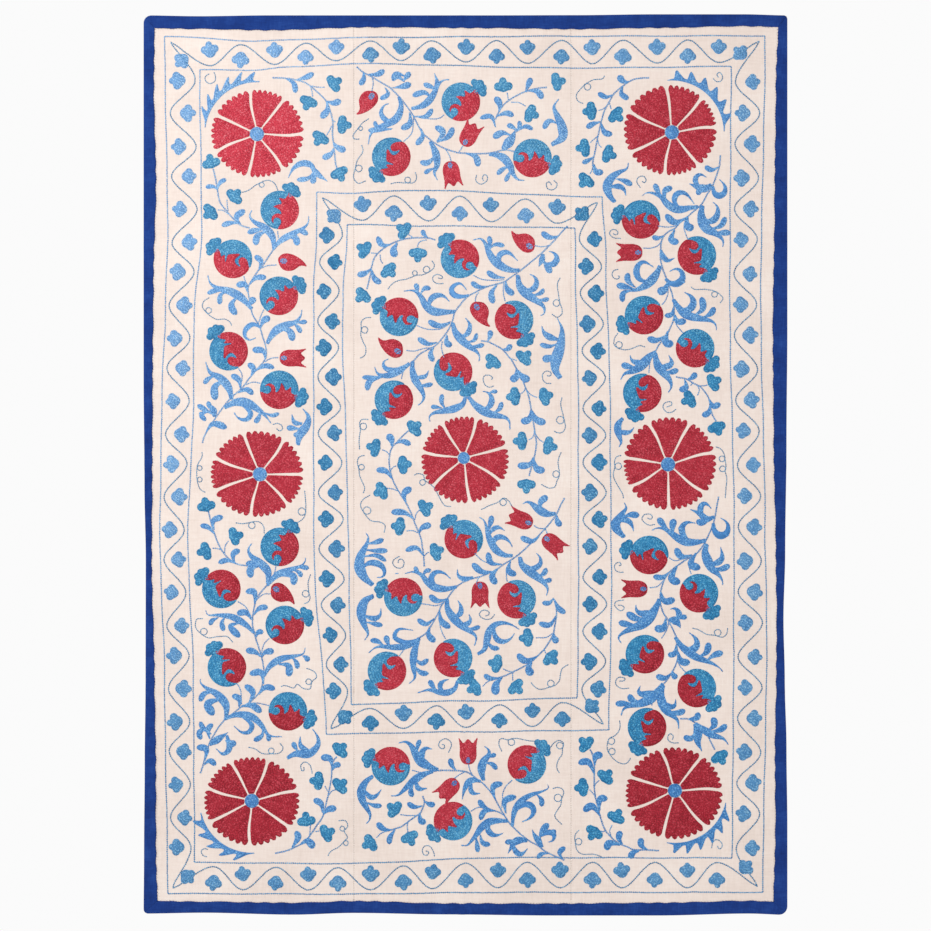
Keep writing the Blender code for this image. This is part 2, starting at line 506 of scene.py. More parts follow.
class Silk(Enum):
    """The dyed silks, and the cotton threads of the seams and the hem."""

    CRIMSON = "crimson"
    BLUE = "blue"
    TEAL = "teal"
    BORDER = "border_blue"
    VINE = "vine_blue"
    SEAM = "seam_cotton"
    HEM = "hem_cotton"


# How far each silk has faded, 0 to 1: a row for each panel, from the top to the bottom of the cloth.
FADING = {
    Silk.CRIMSON: {Panel.LEFT: (0.95, 0.42, 0.12), Panel.CENTRE: (0.70, 0.40, 0.50),
                   Panel.RIGHT: (0.38, 0.30, 0.05)},
    Silk.BLUE: {Panel.LEFT: (0.95, 0.55, 0.30), Panel.CENTRE: (0.65, 0.45, 0.20),
                Panel.RIGHT: (0.40, 0.25, 0.15)},
    Silk.TEAL: {Panel.LEFT: (0.72, 0.30, 0.20), Panel.CENTRE: (0.65, 0.50, 0.35),
                Panel.RIGHT: (0.25, 0.15, 0.10)},
    Silk.VINE: {Panel.LEFT: (0.90, 0.60, 0.40), Panel.CENTRE: (0.60, 0.45, 0.30),
                Panel.RIGHT: (0.50, 0.40, 0.25)},
    Silk.BORDER: {Panel.LEFT: (0.95, 0.80, 0.35), Panel.CENTRE: (0.35, 0.35, 0.25),
                  Panel.RIGHT: (0.55, 0.50, 0.35)},
}


def fading(silk: Silk, x: float, y: float) -> float:
    """How far a silk has faded at one place.

    Args:
        silk: The silk.
        x: Place across the cloth, in mm.
        y: Place along it, in mm.

    Returns:
        0 for the full dye to 1 for the palest.
    """
    if silk not in FADING:
        return 0.5
    return float(np.interp(-y, (-700, 0, 700), FADING[silk][panel_at(x)]))


@dataclass
class Bundle:
    """The stitches and filled patches of one piece of embroidery."""

    stitches: list = field(default_factory=list)
    patches: list = field(default_factory=list)


@dataclass
class Needlework:
    """Collects stitches, in rows as the needle works them, for each panel and silk.

    A stitch is a row of (x, y, angle, length, width, height, shade, fade), in mm and radians.
    """

    pitch: float = 2.45
    step: float = 6.3
    line_step: float = 4.6
    seed: int = SEED
    bundles: dict = field(default_factory=dict)

    def __post_init__(self) -> None:
        """Starts the draws of small unevenness."""
        self.draw = np.random.default_rng(self.seed)

    def bundle(self, silk: Silk, x: float) -> Bundle:
        """The bundle of a silk on the panel at x."""
        return self.bundles.setdefault((panel_at(x), silk), Bundle())

    def keep(self, silk: Silk, rows: list, shade: float, fade: float, wide: float) -> None:
        """Adds rows of stitches, each with its own small unevenness.

        Args:
            silk: The silk.
            rows: Arrays of x, y, angle and length.
            shade: The mean shade, from dark at 0 to light at 1.
            fade: How far the dye has faded.
            wide: The stitches' width, in mm.
        """
        if not rows:
            return
        found = np.vstack(rows)
        count = len(found)
        noise = self.draw.normal(size=(5, count))
        wander = np.sin(found[:, 0] / 9.0 + found[:, 1] / 13.0) * np.sin(found[:, 1] / 7.0)
        tone = shade + 0.20 * noise[0] + 0.11 * wander
        full = np.stack([
            found[:, 0] + 0.18 * noise[1], found[:, 1] + 0.18 * noise[2],
            found[:, 2] + 0.10 * noise[3], found[:, 3] * 1.22, np.full(count, wide * 1.22),
            STITCH_HIGH * (1 + 0.18 * noise[4]), np.clip(tone, 0.0, 1.0), np.full(count, fade),
        ], 1)
        for panel in Panel:
            mine = np.array([panel_at(x) is panel for x in full[:, 0]])
            if mine.any():
                self.bundles.setdefault((panel, silk), Bundle()).stitches.append(full[mine])

    def run(self, path: np.ndarray, closed: bool = False) -> np.ndarray:
        """Lays stitches end to end along a path.

        Args:
            path: Points along it.
            closed: Whether it comes back to its first point.

        Returns:
            Rows of x, y, angle and length.
        """
        if closed:
            path = np.vstack([path, path[:1]])
        length = path_length(path)
        count = max(1, round(length / (self.step if closed else self.line_step)))
        ends = resampled(path, count + 1)
        start, stop = ends[:-1], ends[1:]
        gone = stop - start
        middle = (start + stop) / 2
        return np.column_stack([middle, np.arctan2(gone[:, 1], gone[:, 0]),
                                np.linalg.norm(gone, axis=1)])

    def line(self, silk: Silk, path: np.ndarray, wide: float = 2.5, rows: int = 1,
             shade: float = 0.45, fade: float | None = None) -> None:
        """Works a line of chain stitch, in one row or several side by side.

        Args:
            silk: The silk.
            path: Points along the line.
            wide: Each row's width, in mm.
            rows: How many rows.
            shade: The mean shade.
            fade: How far the dye has faded, or None for what is usual there.
        """
        middle = path[len(path) // 2]
        fade = fading(silk, *middle) if fade is None else fade
        across = normals_of(path)
        pieces = [self.run(path + across * (k - (rows - 1) / 2) * wide * 0.9) for k in range(rows)]
        self.keep(silk, pieces, shade, fade, wide)

    def fill(self, silk: Silk, outline: np.ndarray, grain: float, bend: float = 0.0,
             shade: float = 0.5, fade: float | None = None, hole: np.ndarray | None = None,
             backed_by_painted_shade: bool = True) -> None:
        """Fills a shape: a row round its edge, and rows inside that follow its grain.

        Args:
            silk: The silk.
            outline: The shape's outline, in mm.
            grain: The direction of the rows, in degrees.
            bend: How the rows curve, as 1 / mm.
            shade: The mean shade.
            fade: How far the dye has faded, or None for what is usual there.
            hole: The outline of a place that is left for another silk, or None.
            backed_by_painted_shade: Whether a thin sheet of its own, in a dark shade of the silk, lies under
                its stitches as painted shade in the gaps between them.
        """
        if area_of(outline) < 0:
            outline = outline[::-1]
        centre = (outline.max(0) + outline.min(0)) / 2
        fade = fading(silk, *centre) if fade is None else fade
        if backed_by_painted_shade:
            self.bundle(silk, centre[0]).patches.append((outline, fade))
        edge = outline + normals_of(outline, closed=True) * self.pitch * 0.42
        around = self.run(edge, closed=True)
        around = around[inside(around[:, :2], outline)]
        # The row round the edge is worked 0.12 darker: painted shade where the fill meets the ground.
        self.keep(silk, [around] if len(around) else [], shade - 0.12, fade, self.pitch)
        local = turned(outline - centre, -grain)
        local[:, 1] -= bend * local[:, 0]**2
        rows = []
        margin = self.pitch * 1.15
        low, high = local[:, 1].min(), local[:, 1].max()
        after = np.roll(local, -1, 0)
        for v in np.arange(low + margin, high - margin * 0.6, self.pitch):
            cut = (local[:, 1] > v) != (after[:, 1] > v)
            a, b = local[cut], after[cut]
            at = np.sort(a[:, 0] + (v - a[:, 1]) / (b[:, 1] - a[:, 1]) * (b[:, 0] - a[:, 0]))
            for start, stop in zip(at[::2] + margin, at[1::2] - margin):
                if stop - start < 0.8:
                    continue
                count = max(1, round((stop - start) / self.step))
                breaks = np.linspace(start, stop, count + 1)
                breaks[1:-1] += self.draw.uniform(-0.35, 0.35, count - 1) * self.step
                u = (breaks[:-1] + breaks[1:]) / 2
                spots = np.stack([u, v + bend * u**2], 1)
                angle = math.radians(grain) + np.arctan(2 * bend * u)
                rows.append(np.column_stack([turned(spots, grain) + centre, angle, np.diff(breaks)]))
        if hole is not None:
            rows = [row[~inside(row[:, :2], hole)] for row in rows]
        self.keep(silk, rows, shade, fade, self.pitch)


# --- Motifs -----------------------------------------------------------------------------------


def lobed(centre: tuple, heading_deg: float, base: float, lobes: tuple, fine: int = 44) -> np.ndarray:
    """A round outline with round lobes and clefts between them.

    Args:
        centre: Its middle, in mm.
        heading_deg: The direction that the lobes' angles start from.
        base: Its radius between lobes, in mm.
        lobes: Rows of (angle, distance of the lobe's middle, the lobe's radius).
        fine: How many points it has.

    Returns:
        The outline.
    """
    around = np.linspace(-180, 180, fine, endpoint=False)
    radius = np.full(fine, float(base))
    for angle, distance, size in lobes:
        away = np.radians((around - angle + 180) % 360 - 180)
        inside = size ** 2 - (distance * np.sin(away)) ** 2
        edge = distance * np.cos(away) + np.sqrt(np.clip(inside, 0, None))
        radius = np.where((inside > 0) & (np.cos(away) > 0), np.maximum(radius, edge), radius)
    turn = np.radians(around + heading_deg)
    return np.array(centre, float) + np.stack([np.cos(turn), np.sin(turn)], 1) * radius[:, None]


class Blade(Enum):
    """How a leaf's width goes from its root to its tip."""

    CLUB = "club"  # narrow at the root, broad and round at the tip
    HORN = "horn"  # broad below the middle, drawn out to a point


def blade_outline(points: tuple, width: float, kind: Blade) -> np.ndarray:
    """The outline of a leaf on a curved midrib.

    Args:
        points: The midrib, from root to tip, in mm.
        width: The leaf's greatest width, in mm.
        kind: How the width goes.

    Returns:
        The outline.
    """
    rib = curve(points)
    rib = resampled(rib, max(9, int(path_length(rib) / 3.2)))
    t = np.linspace(0, 1, len(rib))
    if kind is Blade.CLUB:
        swell = 0.22 + 0.78 * ease(t / 0.72)
        share = swell * np.sqrt(np.clip(1 - (np.clip(t - 0.72, 0, 1) / 0.28) ** 2, 0, 1))
    else:
        share = (0.42 + 0.58 * ease(t / 0.38)) * (1 - ease((t - 0.30) / 0.72)) ** 0.8
    off = normals_of(rib) * (share * width / 2)[:, None]
    return np.vstack([rib[:-1] + off[:-1], rib[-1:], (rib - off)[-2::-1]])


# How wide a leaf is worked, as a share of the width in its row.
LEAF_SHARE = 0.91


@dataclass(frozen=True)
class Leaf:
    """One leaf, club, horn or lobe."""

    kind: Blade
    width: float
    points: tuple
    silk: Silk = Silk.BLUE

    def work(self, needle: Needlework) -> None:
        """Works it along its midrib."""
        rib = curve(self.points)
        way = rib[-1] - rib[0]
        grain = math.degrees(math.atan2(way[1], way[0]))
        middle = rib[len(rib) // 2] - (rib[0] + rib[-1]) / 2
        half = np.linalg.norm(way) / 2
        bow = float(np.dot(middle, heading(grain + 90)))
        needle.fill(self.silk, blade_outline(self.points, self.width * LEAF_SHARE, self.kind), grain,
                    -bow / half**2, shade=0.55)


@dataclass(frozen=True)
class Stem:
    """A stem in one or two rows of chain stitch."""

    points: tuple
    rows: int = 1
    wide: float = 2.7
    silk: Silk = Silk.BLUE
    shade: float = 0.42

    def work(self, needle: Needlework) -> None:
        """Works it from its first point to its last."""
        path = curve(self.points)
        needle.line(self.silk, path, self.wide, self.rows, self.shade)


@dataclass(frozen=True)
class Tendril:
    """A thin tendril with small round curls. A curl is (share of the way, radius, side)."""

    points: tuple
    curls: tuple = ()
    wide: float = 2.5

    def work(self, needle: Needlework) -> None:
        """Works it, going once round each curl on the way."""
        path = resampled(curve(self.points), 60)
        across = normals_of(path)
        parts = []
        last = 0
        for share, radius, side in self.curls:
            k = int(share * (len(path) - 1))
            centre = path[k] + across[k] * radius * side
            arm = path[k] - centre
            turn = np.linspace(0, 360 * side, 15)[1:-1]
            parts += [path[last:k + 1], np.array([centre + turned(arm[None], a)[0] for a in turn])]
            last = k
        parts.append(path[last:])
        needle.line(Silk.VINE, np.vstack(parts), self.wide, shade=0.5)


# Half the width of the ground left showing between two petals.
GAP_AT_EYE, GAP_AT_RIM = 1.9, 4.1


@dataclass(frozen=True)
class Rosette:
    """A large round flower: seven toothed petals round a blue eye, each gap at its own angle."""

    x: float
    y: float
    gaps: tuple[float, ...]
    shift: tuple[float, float] = (0.0, 0.0)
    rx: float = 109.0
    ry: float = 105.0
    eye: float = 16.5
    teeth: int = 6
    tooth: float = 10.5

    def rim(self, angle: np.ndarray) -> np.ndarray:
        """Finds the rim, which isn't quite centred on the eye.

        Args:
            angle: The directions from the eye, in degrees.

        Returns:
            The distance from the eye to the rim along each.
        """
        turn = np.radians(angle)
        ray = np.stack([np.cos(turn) / self.rx, np.sin(turn) / self.ry], -1)
        off = np.array(self.shift) / (self.rx, self.ry)
        along = (ray ** 2).sum(-1)
        half = (ray * off).sum(-1)
        return (half + np.sqrt(half ** 2 + along * (1 - (off ** 2).sum()))) / along

    def side(self, angle: float, way: int, twist: float) -> tuple[np.ndarray, np.ndarray]:
        """One side of a petal, from the eye out along a gap.

        Args:
            angle: The gap's angle.
            way: +1 where the petal lies at greater angles than the gap, or -1.
            twist: How far the side swings between the eye and the rim, in degrees.

        Returns:
            The angles and the distances of its points.
        """
        share = np.linspace(0, 1, 7)[:-1]
        inner = self.eye + 1.4
        reach = inner + (self.rim(np.array(angle)) - self.tooth - inner) * share
        gap = np.degrees((GAP_AT_EYE + (GAP_AT_RIM - GAP_AT_EYE) * share) / reach)
        return angle + way * gap + twist * np.sin(np.pi * share), reach

    def petal(self, start: float, stop: float, twists: tuple[float, float]) -> np.ndarray:
        """One petal's outline.

        Args:
            start: The angle of the gap on its clockwise side.
            stop: The angle of the gap on its other side.
            twists: How far each side swings.

        Returns:
            The outline, about the flower's eye.
        """
        low, low_reach = self.side(start, 1, twists[0])
        high, high_reach = self.side(stop, -1, twists[1])
        s = np.linspace(0, 1, self.teeth * 6 + 1)
        edge = math.degrees(GAP_AT_RIM / self.rx)
        across = start + edge + (stop - start - 2 * edge) * s
        wave = self.rim(across) - self.tooth * (1 - np.abs(np.sin(np.pi * self.teeth * s)) ** 0.65)
        turn = np.radians(np.concatenate([low, across, high[::-1]]))
        radius = np.concatenate([low_reach, wave, high_reach[::-1]])
        return np.stack([np.cos(turn), np.sin(turn)], 1) * radius[:, None]

    def work(self, needle: Needlework) -> None:
        """Works the petals and the eye."""
        at = np.array([self.x, self.y])
        fade = fading(Silk.CRIMSON, self.x, self.y)
        ends = self.gaps[1:] + (self.gaps[0] + 360,)
        twists = [3.0 * math.sin(1.7 * k + self.y) for k in range(len(ends))]
        for k, (start, stop) in enumerate(zip(self.gaps, ends)):
            outline = at + self.petal(start, stop, (twists[k], twists[(k + 1) % len(ends)]))
            needle.fill(Silk.CRIMSON, outline, (start + stop) / 2, 0.0012 * math.sin(k + 1), fade=fade)
        needle.fill(Silk.BLUE, lobed((self.x, self.y), 0, self.eye, ()), 30, shade=0.42)


@dataclass(frozen=True)
class Crescent:
    """A toothed crescent round a corner rosette, opening towards it."""

    x: float
    y: float
    start: float
    stop: float
    inner: float = 121.0
    thick: float = 10.0
    teeth: int = 6
    reach: float = 20.0
    lean: float = 8.0

    def work(self, needle: Needlework) -> None:
        """Works the band with its pointed teeth."""
        s = np.linspace(0, 1, 10 * self.teeth + 1)
        band = self.thick * np.sin(np.pi * s) ** 0.7
        saw = (s * (self.teeth + 1) - 0.5) % 1.0
        tooth = self.reach * np.clip(1.08 - np.abs(saw - 0.5) / 0.33, 0, 1)
        spike = np.where((s > 0.08) & (s < 0.93), tooth, 0)
        turn = np.radians(self.start + (self.stop - self.start) * s - self.lean * spike / self.reach)
        back = np.radians(self.start + (self.stop - self.start) * s[::-3])
        outer = np.stack([np.cos(turn), np.sin(turn)], 1) * (self.inner + band + spike)[:, None]
        inner = np.stack([np.cos(back), np.sin(back)], 1) * self.inner
        outline = np.array([self.x, self.y]) + np.vstack([outer[:-1], inner[:-1]])
        mid = (self.start + self.stop) / 2
        needle.fill(Silk.BLUE, outline, mid + 90, shade=0.5)


class Rind(Enum):
    """How the red side of a pomegranate meets its blue side."""

    HOOK = "hook"
    EYE = "eye"


# The line between the two sides, on a fruit of radius 1 with its crown at +Y and red at +X.
DIVIDES = {
    Rind.HOOK: ((-.02, 1), (.02, .8), (-.05, .60), (-.18, .60), (-.33, .53), (-.17, .45), (-.05, .32),
                (-.20, .22), (-.38, 0), (-.15, .02), (.08, -.02), (.20, -.16), (0, -.19), (-.16, -.36),
                (-.18, -.56), (-.08, -.72), (.08, -.77), (-.03, -.66), (-.03, -.50), (.07, -.40),
                (.20, -.38), (.34, -.46), (.40, -.62), (.36, -.80), (.38, -.925)),
    Rind.EYE: ((0, 1), (.05, .80), (.16, .66), (.28, .53), (.12, .52), (.04, .50), (.22, .34),
               (.41, .21), (.20, .26), (-.03, .34), (-.22, .12), (-.41, -.10), (-.38, -.19),
               (-.24, -.14), (-.08, -.10), (.05, -.14), (.14, -.32), (.11, -.58), (.02, -.40),
               (-.10, -.28), (-.28, -.28), (-.39, -.40), (-.38, -.62), (-.26, -.79), (-.08, -.97)),
}


@dataclass(frozen=True)
class Pomegranate:
    """A pomegranate, part blue and part red, with a lobed crown."""

    x: float
    y: float
    crown: float
    red_right: bool = True
    rind: Rind = Rind.HOOK
    radius: float = 45.0

    def placed(self, points: np.ndarray) -> np.ndarray:
        """Moves points from the fruit's own measure to the cloth."""
        flip = np.array([1.0 if self.red_right else -1.0, 1.0])
        return turned(points * flip * self.radius, self.crown - 90) + np.array([self.x, self.y])

    def work(self, needle: Needlework) -> None:
        """Works the blue side, the red side and the crown."""
        divide = curve(DIVIDES[self.rind], fine=2)
        first = math.degrees(math.atan2(divide[-1, 1], divide[-1, 0]))
        right = np.radians(np.linspace(first, 90, 26)[1:-1])
        left = np.radians(np.linspace(90, 360 + first, 30)[1:-1])
        red = np.vstack([divide, np.stack([np.cos(right), np.sin(right)], 1)])
        blue = np.vstack([divide[::-1], np.stack([np.cos(left), np.sin(left)], 1)])
        sway = 18 * math.sin(self.x + self.y)
        needle.fill(Silk.CRIMSON, self.placed(red), self.crown + sway, 0.004)
        needle.fill(Silk.TEAL, self.placed(blue), self.crown - sway, -0.003)
        lobes = ((-84, 16, 9), (-34, 13, 8), (22, 13.5, 8), (80, 16, 8.5), (180, 4, 10))
        top = self.placed(np.array([[0.05, 1.13]]))[0]
        needle.fill(Silk.TEAL, lobed(tuple(top), self.crown, 10, lobes, 56), self.crown, shade=0.38)


@dataclass(frozen=True)
class Tulip:
    """A red bell with three pointed teeth and a blue spot at its base."""

    x: float
    y: float
    way: float
    long: float = 63.0
    wide: float = 41.0

    def work(self, needle: Needlework) -> None:
        """Works the bell and its spot."""
        half = ((-.50, 0), (-.46, .24), (-.33, .41), (-.12, .48), (.12, .46), (.34, .50), (.50, .52))
        mouth = ((.50, .52), (.27, .27), (.44, .04), (.47, 0), (.44, -.04), (.27, -.27), (.50, -.52))
        side = curve(half, fine=4)
        bell = np.vstack([side[:-1], np.array(mouth), (side * (1, -1))[::-1][1:-1]])
        at = np.array([self.x, self.y])
        outline = turned(bell * (self.long, self.wide), self.way) + at
        spot = at - heading(self.way) * self.long * 0.34
        oval = turned(lobed((0, 0), 0, 1, (), 16) * (8.5, 6.0), self.way) + spot
        needle.fill(Silk.CRIMSON, outline, self.way, hole=oval)
        needle.fill(Silk.BLUE, oval, self.way, shade=0.35, backed_by_painted_shade=False)


@dataclass(frozen=True)
class DropBud:
    """A red bud whose tip is drawn out and curled, with a blue spot at its base."""

    x: float
    y: float
    way: float
    hook: float = -1.0
    long: float = 66.0
    wide: float = 42.0

    def work(self, needle: Needlework) -> None:
        """Works the bud and its spot."""
        drop = ((-.44, 0), (-.38, .28), (-.20, .44), (.04, .42), (.22, .33), (.38, .20), (.50, .06),
                (.60, -.12), (.46, -.10), (.33, -.16), (.16, -.42), (-.06, -.52), (-.28, -.42))
        body = curve(drop, closed=True, fine=3)[:-1] * (self.long, -self.hook * self.wide)
        at = np.array([self.x, self.y])
        spot = at - heading(self.way) * self.long * 0.24
        oval = turned(lobed((0, 0), 0, 1, (), 16) * (9.5, 7.0), self.way) + spot
        needle.fill(Silk.CRIMSON, turned(body, self.way) + at, self.way, hole=oval)
        needle.fill(Silk.BLUE, oval, self.way, shade=0.35, backed_by_painted_shade=False)


@dataclass(frozen=True)
class Trefoil:
    """A small three-lobed flower. Its middle lobe points along way."""

    x: float
    y: float
    way: float

    def work(self, needle: Needlework) -> None:
        """Works its three lobes as one shape."""
        wobble = 8 * math.sin(self.x * 3 + self.y)
        lobes = ((wobble, 13, 8.5), (93, 12, 10), (-93 + wobble, 12, 10), (180, 3, 10.5))
        outline = lobed((self.x, self.y), self.way, 11, lobes, 56)
        needle.fill(Silk.TEAL, outline, self.way, shade=0.47)


@dataclass(frozen=True)
class BorderBud:
    """A bud in a bend of the vine: round towards the vine, with a narrow middle lobe."""

    x: float
    y: float
    way: float
    size: float = 1.0
    fade: float | None = None

    def work(self, needle: Needlework) -> None:
        """Works it as one shape."""
        wobble = 5 * math.sin(self.x + 2 * self.y)
        lobes = ((wobble, 13.5, 6.5), (68 + wobble, 10.5, 8), (-68, 10.5, 8), (180, 2, 11))
        lobes = tuple((a, d * self.size, r * self.size) for a, d, r in lobes)
        outline = lobed((self.x, self.y), self.way, 11 * self.size, lobes, 56)
        needle.fill(Silk.BORDER, outline, self.way + 70, shade=0.5, fade=self.fade)


# --- Borders ----------------------------------------------------------------------------------


@dataclass(frozen=True)
class Band:
    """A border between two guard lines, with a vine and its buds.

    Each side has rows of (along, outer line, inner line). bends is how many times the vine swings
    inwards on an upright side and on a level one.
    """

    left: tuple
    right: tuple
    top: tuple
    bottom: tuple
    bends: tuple
    swing: float
    bud: float
    fades: dict

    def sides(self) -> tuple:
        """The sides clockwise from the bottom left corner: (rows, axis along, way along)."""
        return (self.left, 1, 1), (self.top, 0, 1), (self.right, 1, -1), (self.bottom, 0, -1)

    def line_at(self, rows: tuple, along: np.ndarray, column: int) -> np.ndarray:
        """Where the outer line (1) or the inner line (2) of a side lies."""
        table = np.array(sorted(rows), float)
        k = np.clip(np.searchsorted(table[:, 0], along) - 1, 0, len(table) - 2)
        share = ease((along - table[k, 0]) / (table[k + 1, 0] - table[k, 0]))
        return table[k, column] + (table[k + 1, column] - table[k, column]) * share

    def ends(self, index: int, column: int) -> tuple[float, float]:
        """Where a side's outer or inner line starts and stops, at the lines of its neighbours."""
        order = self.sides()
        rows, _, way = order[index]
        before, after = order[index - 1][0], order[(index + 1) % 4][0]
        mine = max(r[0] for r in rows) * way
        level = self.line_at(rows, np.array([mine]), column)[0]
        start = self.line_at(before, np.array([self.line_at(rows, np.array([-mine]), column)[0]]), column)[0]
        return float(start), float(self.line_at(after, np.array([level]), column)[0])

    def place(self, index: int, along: np.ndarray, share: np.ndarray | float) -> np.ndarray:
        """Points at places along a side, at a share of the way from its inner line to its outer one."""
        rows, axis, _ = self.sides()[index]
        inner, outer = self.line_at(rows, along, 2), self.line_at(rows, along, 1)
        over = inner + (outer - inner) * share
        return np.stack([over, along] if axis else [along, over], 1)

    def work(self, needle: Needlework) -> None:
        """Works the guard lines, the vine and the buds."""
        vine = []
        for index in range(4):
            for column, share in ((1, 1.0), (2, 0.0)):
                start, stop = self.ends(index, column)
                along = np.linspace(start, stop, 60)
                path = self.place(index, along, share)
                path += normals_of(path) * (0.7 * np.sin(along / 31 + index * 2))[:, None]
                for part in np.array_split(np.arange(60), 6):
                    part = np.append(part, min(part[-1] + 1, 59))
                    needle.line(Silk.BORDER, path[part], 3.2, shade=0.28)
            start, stop = self.ends(index, 1)
            inset = math.copysign(1, stop - start) * 24
            vine.append(self.place(index, np.array([start + inset * 0.95]), 0.76))
            count = 2 * self.bends[index % 2]
            low, high = start + inset * 1.3, stop - inset * 1.3
            k = np.arange(1, count)
            along = low + (high - low) * k / count + 3.0 * np.sin(2.1 * k + index)
            inwards = k % 2 == 1
            vine.append(self.place(index, along, np.where(inwards, 0.5 - self.swing, 0.5 + self.swing)))
            vine.append(self.place(index, np.array([stop - inset * 0.95]), 0.76))
            buds = self.place(index, along, np.where(inwards, 0.60, 0.40))
            outward = {0: 180, 1: 90, 2: 0, 3: 270}[index]
            for j, (spot, turn) in enumerate(zip(buds, inwards)):
                way = outward + (0 if turn else 180) + 9 * math.sin(3.7 * j + index)
                size = self.bud * (1 + 0.05 * math.sin(5.3 * j + 2 * index))
                fade = None
                if self.fades:
                    fade = min(1.0, max(0.0, self.fades[index] + 0.14 * math.sin(2.9 * j)))
                BorderBud(float(spot[0]), float(spot[1]), way, size, fade).work(needle)
            spot = self.place(index, np.array([start + inset * 1.75]), 0.30)[0]
            BorderBud(float(spot[0]), float(spot[1]), outward + 135, self.bud,
                      self.fades[index] if self.fades else None).work(needle)
        path = curve(np.vstack(vine), closed=True, fine=12)
        for part in np.array_split(np.arange(len(path)), 40):
            part = np.append(part, (part[-1] + 1) % len(path))
            needle.line(Silk.VINE, path[part], 3.4, shade=0.45)


OUTER_BAND = Band(
    left=((1000, -701, -620), (536, -694, -615), (345, -700, -633), (150, -708, -634),
          (-170, -712, -647), (-510, -701, -634), (-1000, -694, -631)),
    right=((1000, 698, 619), (384, 688, 616), (-163, 698, 626), (-385, 702, 625), (-1000, 693, 621)),
    top=((-700, 999, 921), (-500, 988, 920), (-409, 990, 927), (-262, 996, 935), (243, 999, 925),
         (700, 1000, 929)),
    bottom=((-700, -999, -926), (-300, -1000, -929), (100, -996, -915), (700, -996, -916)),
    bends=(13, 9), swing=0.37, bud=1.13, fades={},
)
INNER_BAND = Band(
    left=((640, -346, -273), (520, -348, -277), (400, -354, -285), (330, -354, -287), (-12, -354, -277),
          (-200, -353, -272), (-630, -325, -265)),
    right=((630, 319, 253), (478, 327, 256), (151, 337, 263), (-315, 340, 263), (-620, 334, 260)),
    top=((-346, 636, 560), (-267, 633, 560), (-120, 640, 557), (319, 625, 552)),
    bottom=((-325, -627, -560), (0, -622, -550), (334, -618, -541)),
    bends=(9, 4), swing=0.36, bud=1.14, fades={0: 0.04, 1: 0.5, 2: 0.02, 3: 0.15},
)


# --- Building the pieces ----------------------------------------------------------------------


def link(mesh: bpy.types.Mesh, name: str, material: bpy.types.Material) -> bpy.types.Object:
    """Puts a mesh in the scene as an object with one material."""
    mesh.materials.append(material)
    obj = bpy.data.objects.new(name, mesh)
    bpy.context.scene.collection.objects.link(obj)
    return obj


def cloth_sheet(name: str, spots: np.ndarray, thick: float, offset: float,
                material: bpy.types.Material) -> bpy.types.Object:
    """A thin closed sheet on a grid of points.

    Args:
        name: The object's name.
        spots: The points, as columns by rows by 3, in mm.
        thick: Its thickness, in mm.
        offset: Which side of the points it lies on: 1 above, 0 in the middle.
        material: Its finish.

    Returns:
        The object.
    """
    columns, rows = spots.shape[0] - 1, spots.shape[1] - 1
    bm = bmesh.new()
    bmesh.ops.create_grid(bm, x_segments=columns, y_segments=rows, size=1.0)
    mesh = bpy.data.meshes.new(name)
    bm.to_mesh(mesh)
    bm.free()
    flat = np.empty(len(mesh.vertices) * 3, np.float32)
    mesh.vertices.foreach_get("co", flat)
    flat = flat.reshape(-1, 3)
    i = np.rint((flat[:, 0] + 1) * columns / 2).astype(int)
    j = np.rint((flat[:, 1] + 1) * rows / 2).astype(int)
    mesh.vertices.foreach_set("co", (spots[i, j] * MM).astype(np.float32).ravel())
    mesh.shade_smooth()
    obj = link(mesh, name, material)
    solid = obj.modifiers.new("cloth_thickness", "SOLIDIFY")
    solid.thickness = thick * MM
    solid.offset = offset
    return obj


@dataclass(frozen=True)
class GroundPanel:
    """One loom width of the ground, out to its seams or its raw edge under the binding."""

    panel: Panel
    form: ClothForm
    spacing: float = 13.0
    raw_edge: float = 10.0
    seam_gap: float = 0.25
    seam_roll: float = 0.7  # how far the turned edge dips at a seam
    seam_wide: float = 4.0

    def lines(self, low: float, high: float, folds: tuple) -> np.ndarray:
        """Places of the sheet's lines, closer together at folds and at both ends."""
        count = max(2, round((high - low) / self.spacing))
        found = list(np.linspace(low, high, count + 1))
        found += [low + d for d in (1.5, 4.0, 8.0)] + [high - d for d in (1.5, 4.0, 8.0)]
        for at, half in folds:
            found += [at + half * k / 4 for k in range(-4, 5) if low < at + half * k / 4 < high]
        found = np.array(sorted(found))
        return found[np.concatenate([[True], np.diff(found) > 0.8])]

    def build(self, material: bpy.types.Material) -> bpy.types.Object:
        """Builds the sheet, on the cloth's form."""
        seams = {Panel.LEFT: (None, SEAMS[0]), Panel.CENTRE: SEAMS, Panel.RIGHT: (SEAMS[1], None)}
        low_seam, high_seam = seams[self.panel]
        edge = HALF_ACROSS - self.raw_edge
        low = -edge if low_seam is None else low_seam + self.seam_gap
        high = edge if high_seam is None else high_seam - self.seam_gap
        upright = tuple((c.at, c.half_width) for c in CREASES if c.across == 0)
        level = tuple((c.at, c.half_width) for c in CREASES if c.across == 1)
        xs = self.lines(low, high, upright)
        end = HALF_ALONG - self.raw_edge
        ys = self.lines(-end, end, level)
        x, y = (a.copy() for a in np.meshgrid(xs, ys, indexing="ij"))
        flat_x, flat_y = x.copy(), y.copy()
        for side in SIDES:
            over, along = (flat_x, flat_y) if side.across == 0 else (flat_y, flat_x)
            near = ease(1 - (side.half() - self.raw_edge - side.sign * over) / 60)
            shift = -side.sign * side.at(along)[0] * near
            if side.across == 0:
                x += shift
            else:
                y += shift
        z = self.form.height(x, y)
        for seam in SEAMS:
            z -= self.seam_roll * (1 - ease(np.abs(x - seam) / self.seam_wide)) * np.minimum(z, 1.0)
        sheet = cloth_sheet(f"ground_cloth_{self.panel.value}", np.stack([x, y, z], 2), GROUND_THICK,
                            1.0, material)
        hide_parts(f"ground_{self.panel.value}")
        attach(sheet, "root")
        return sheet


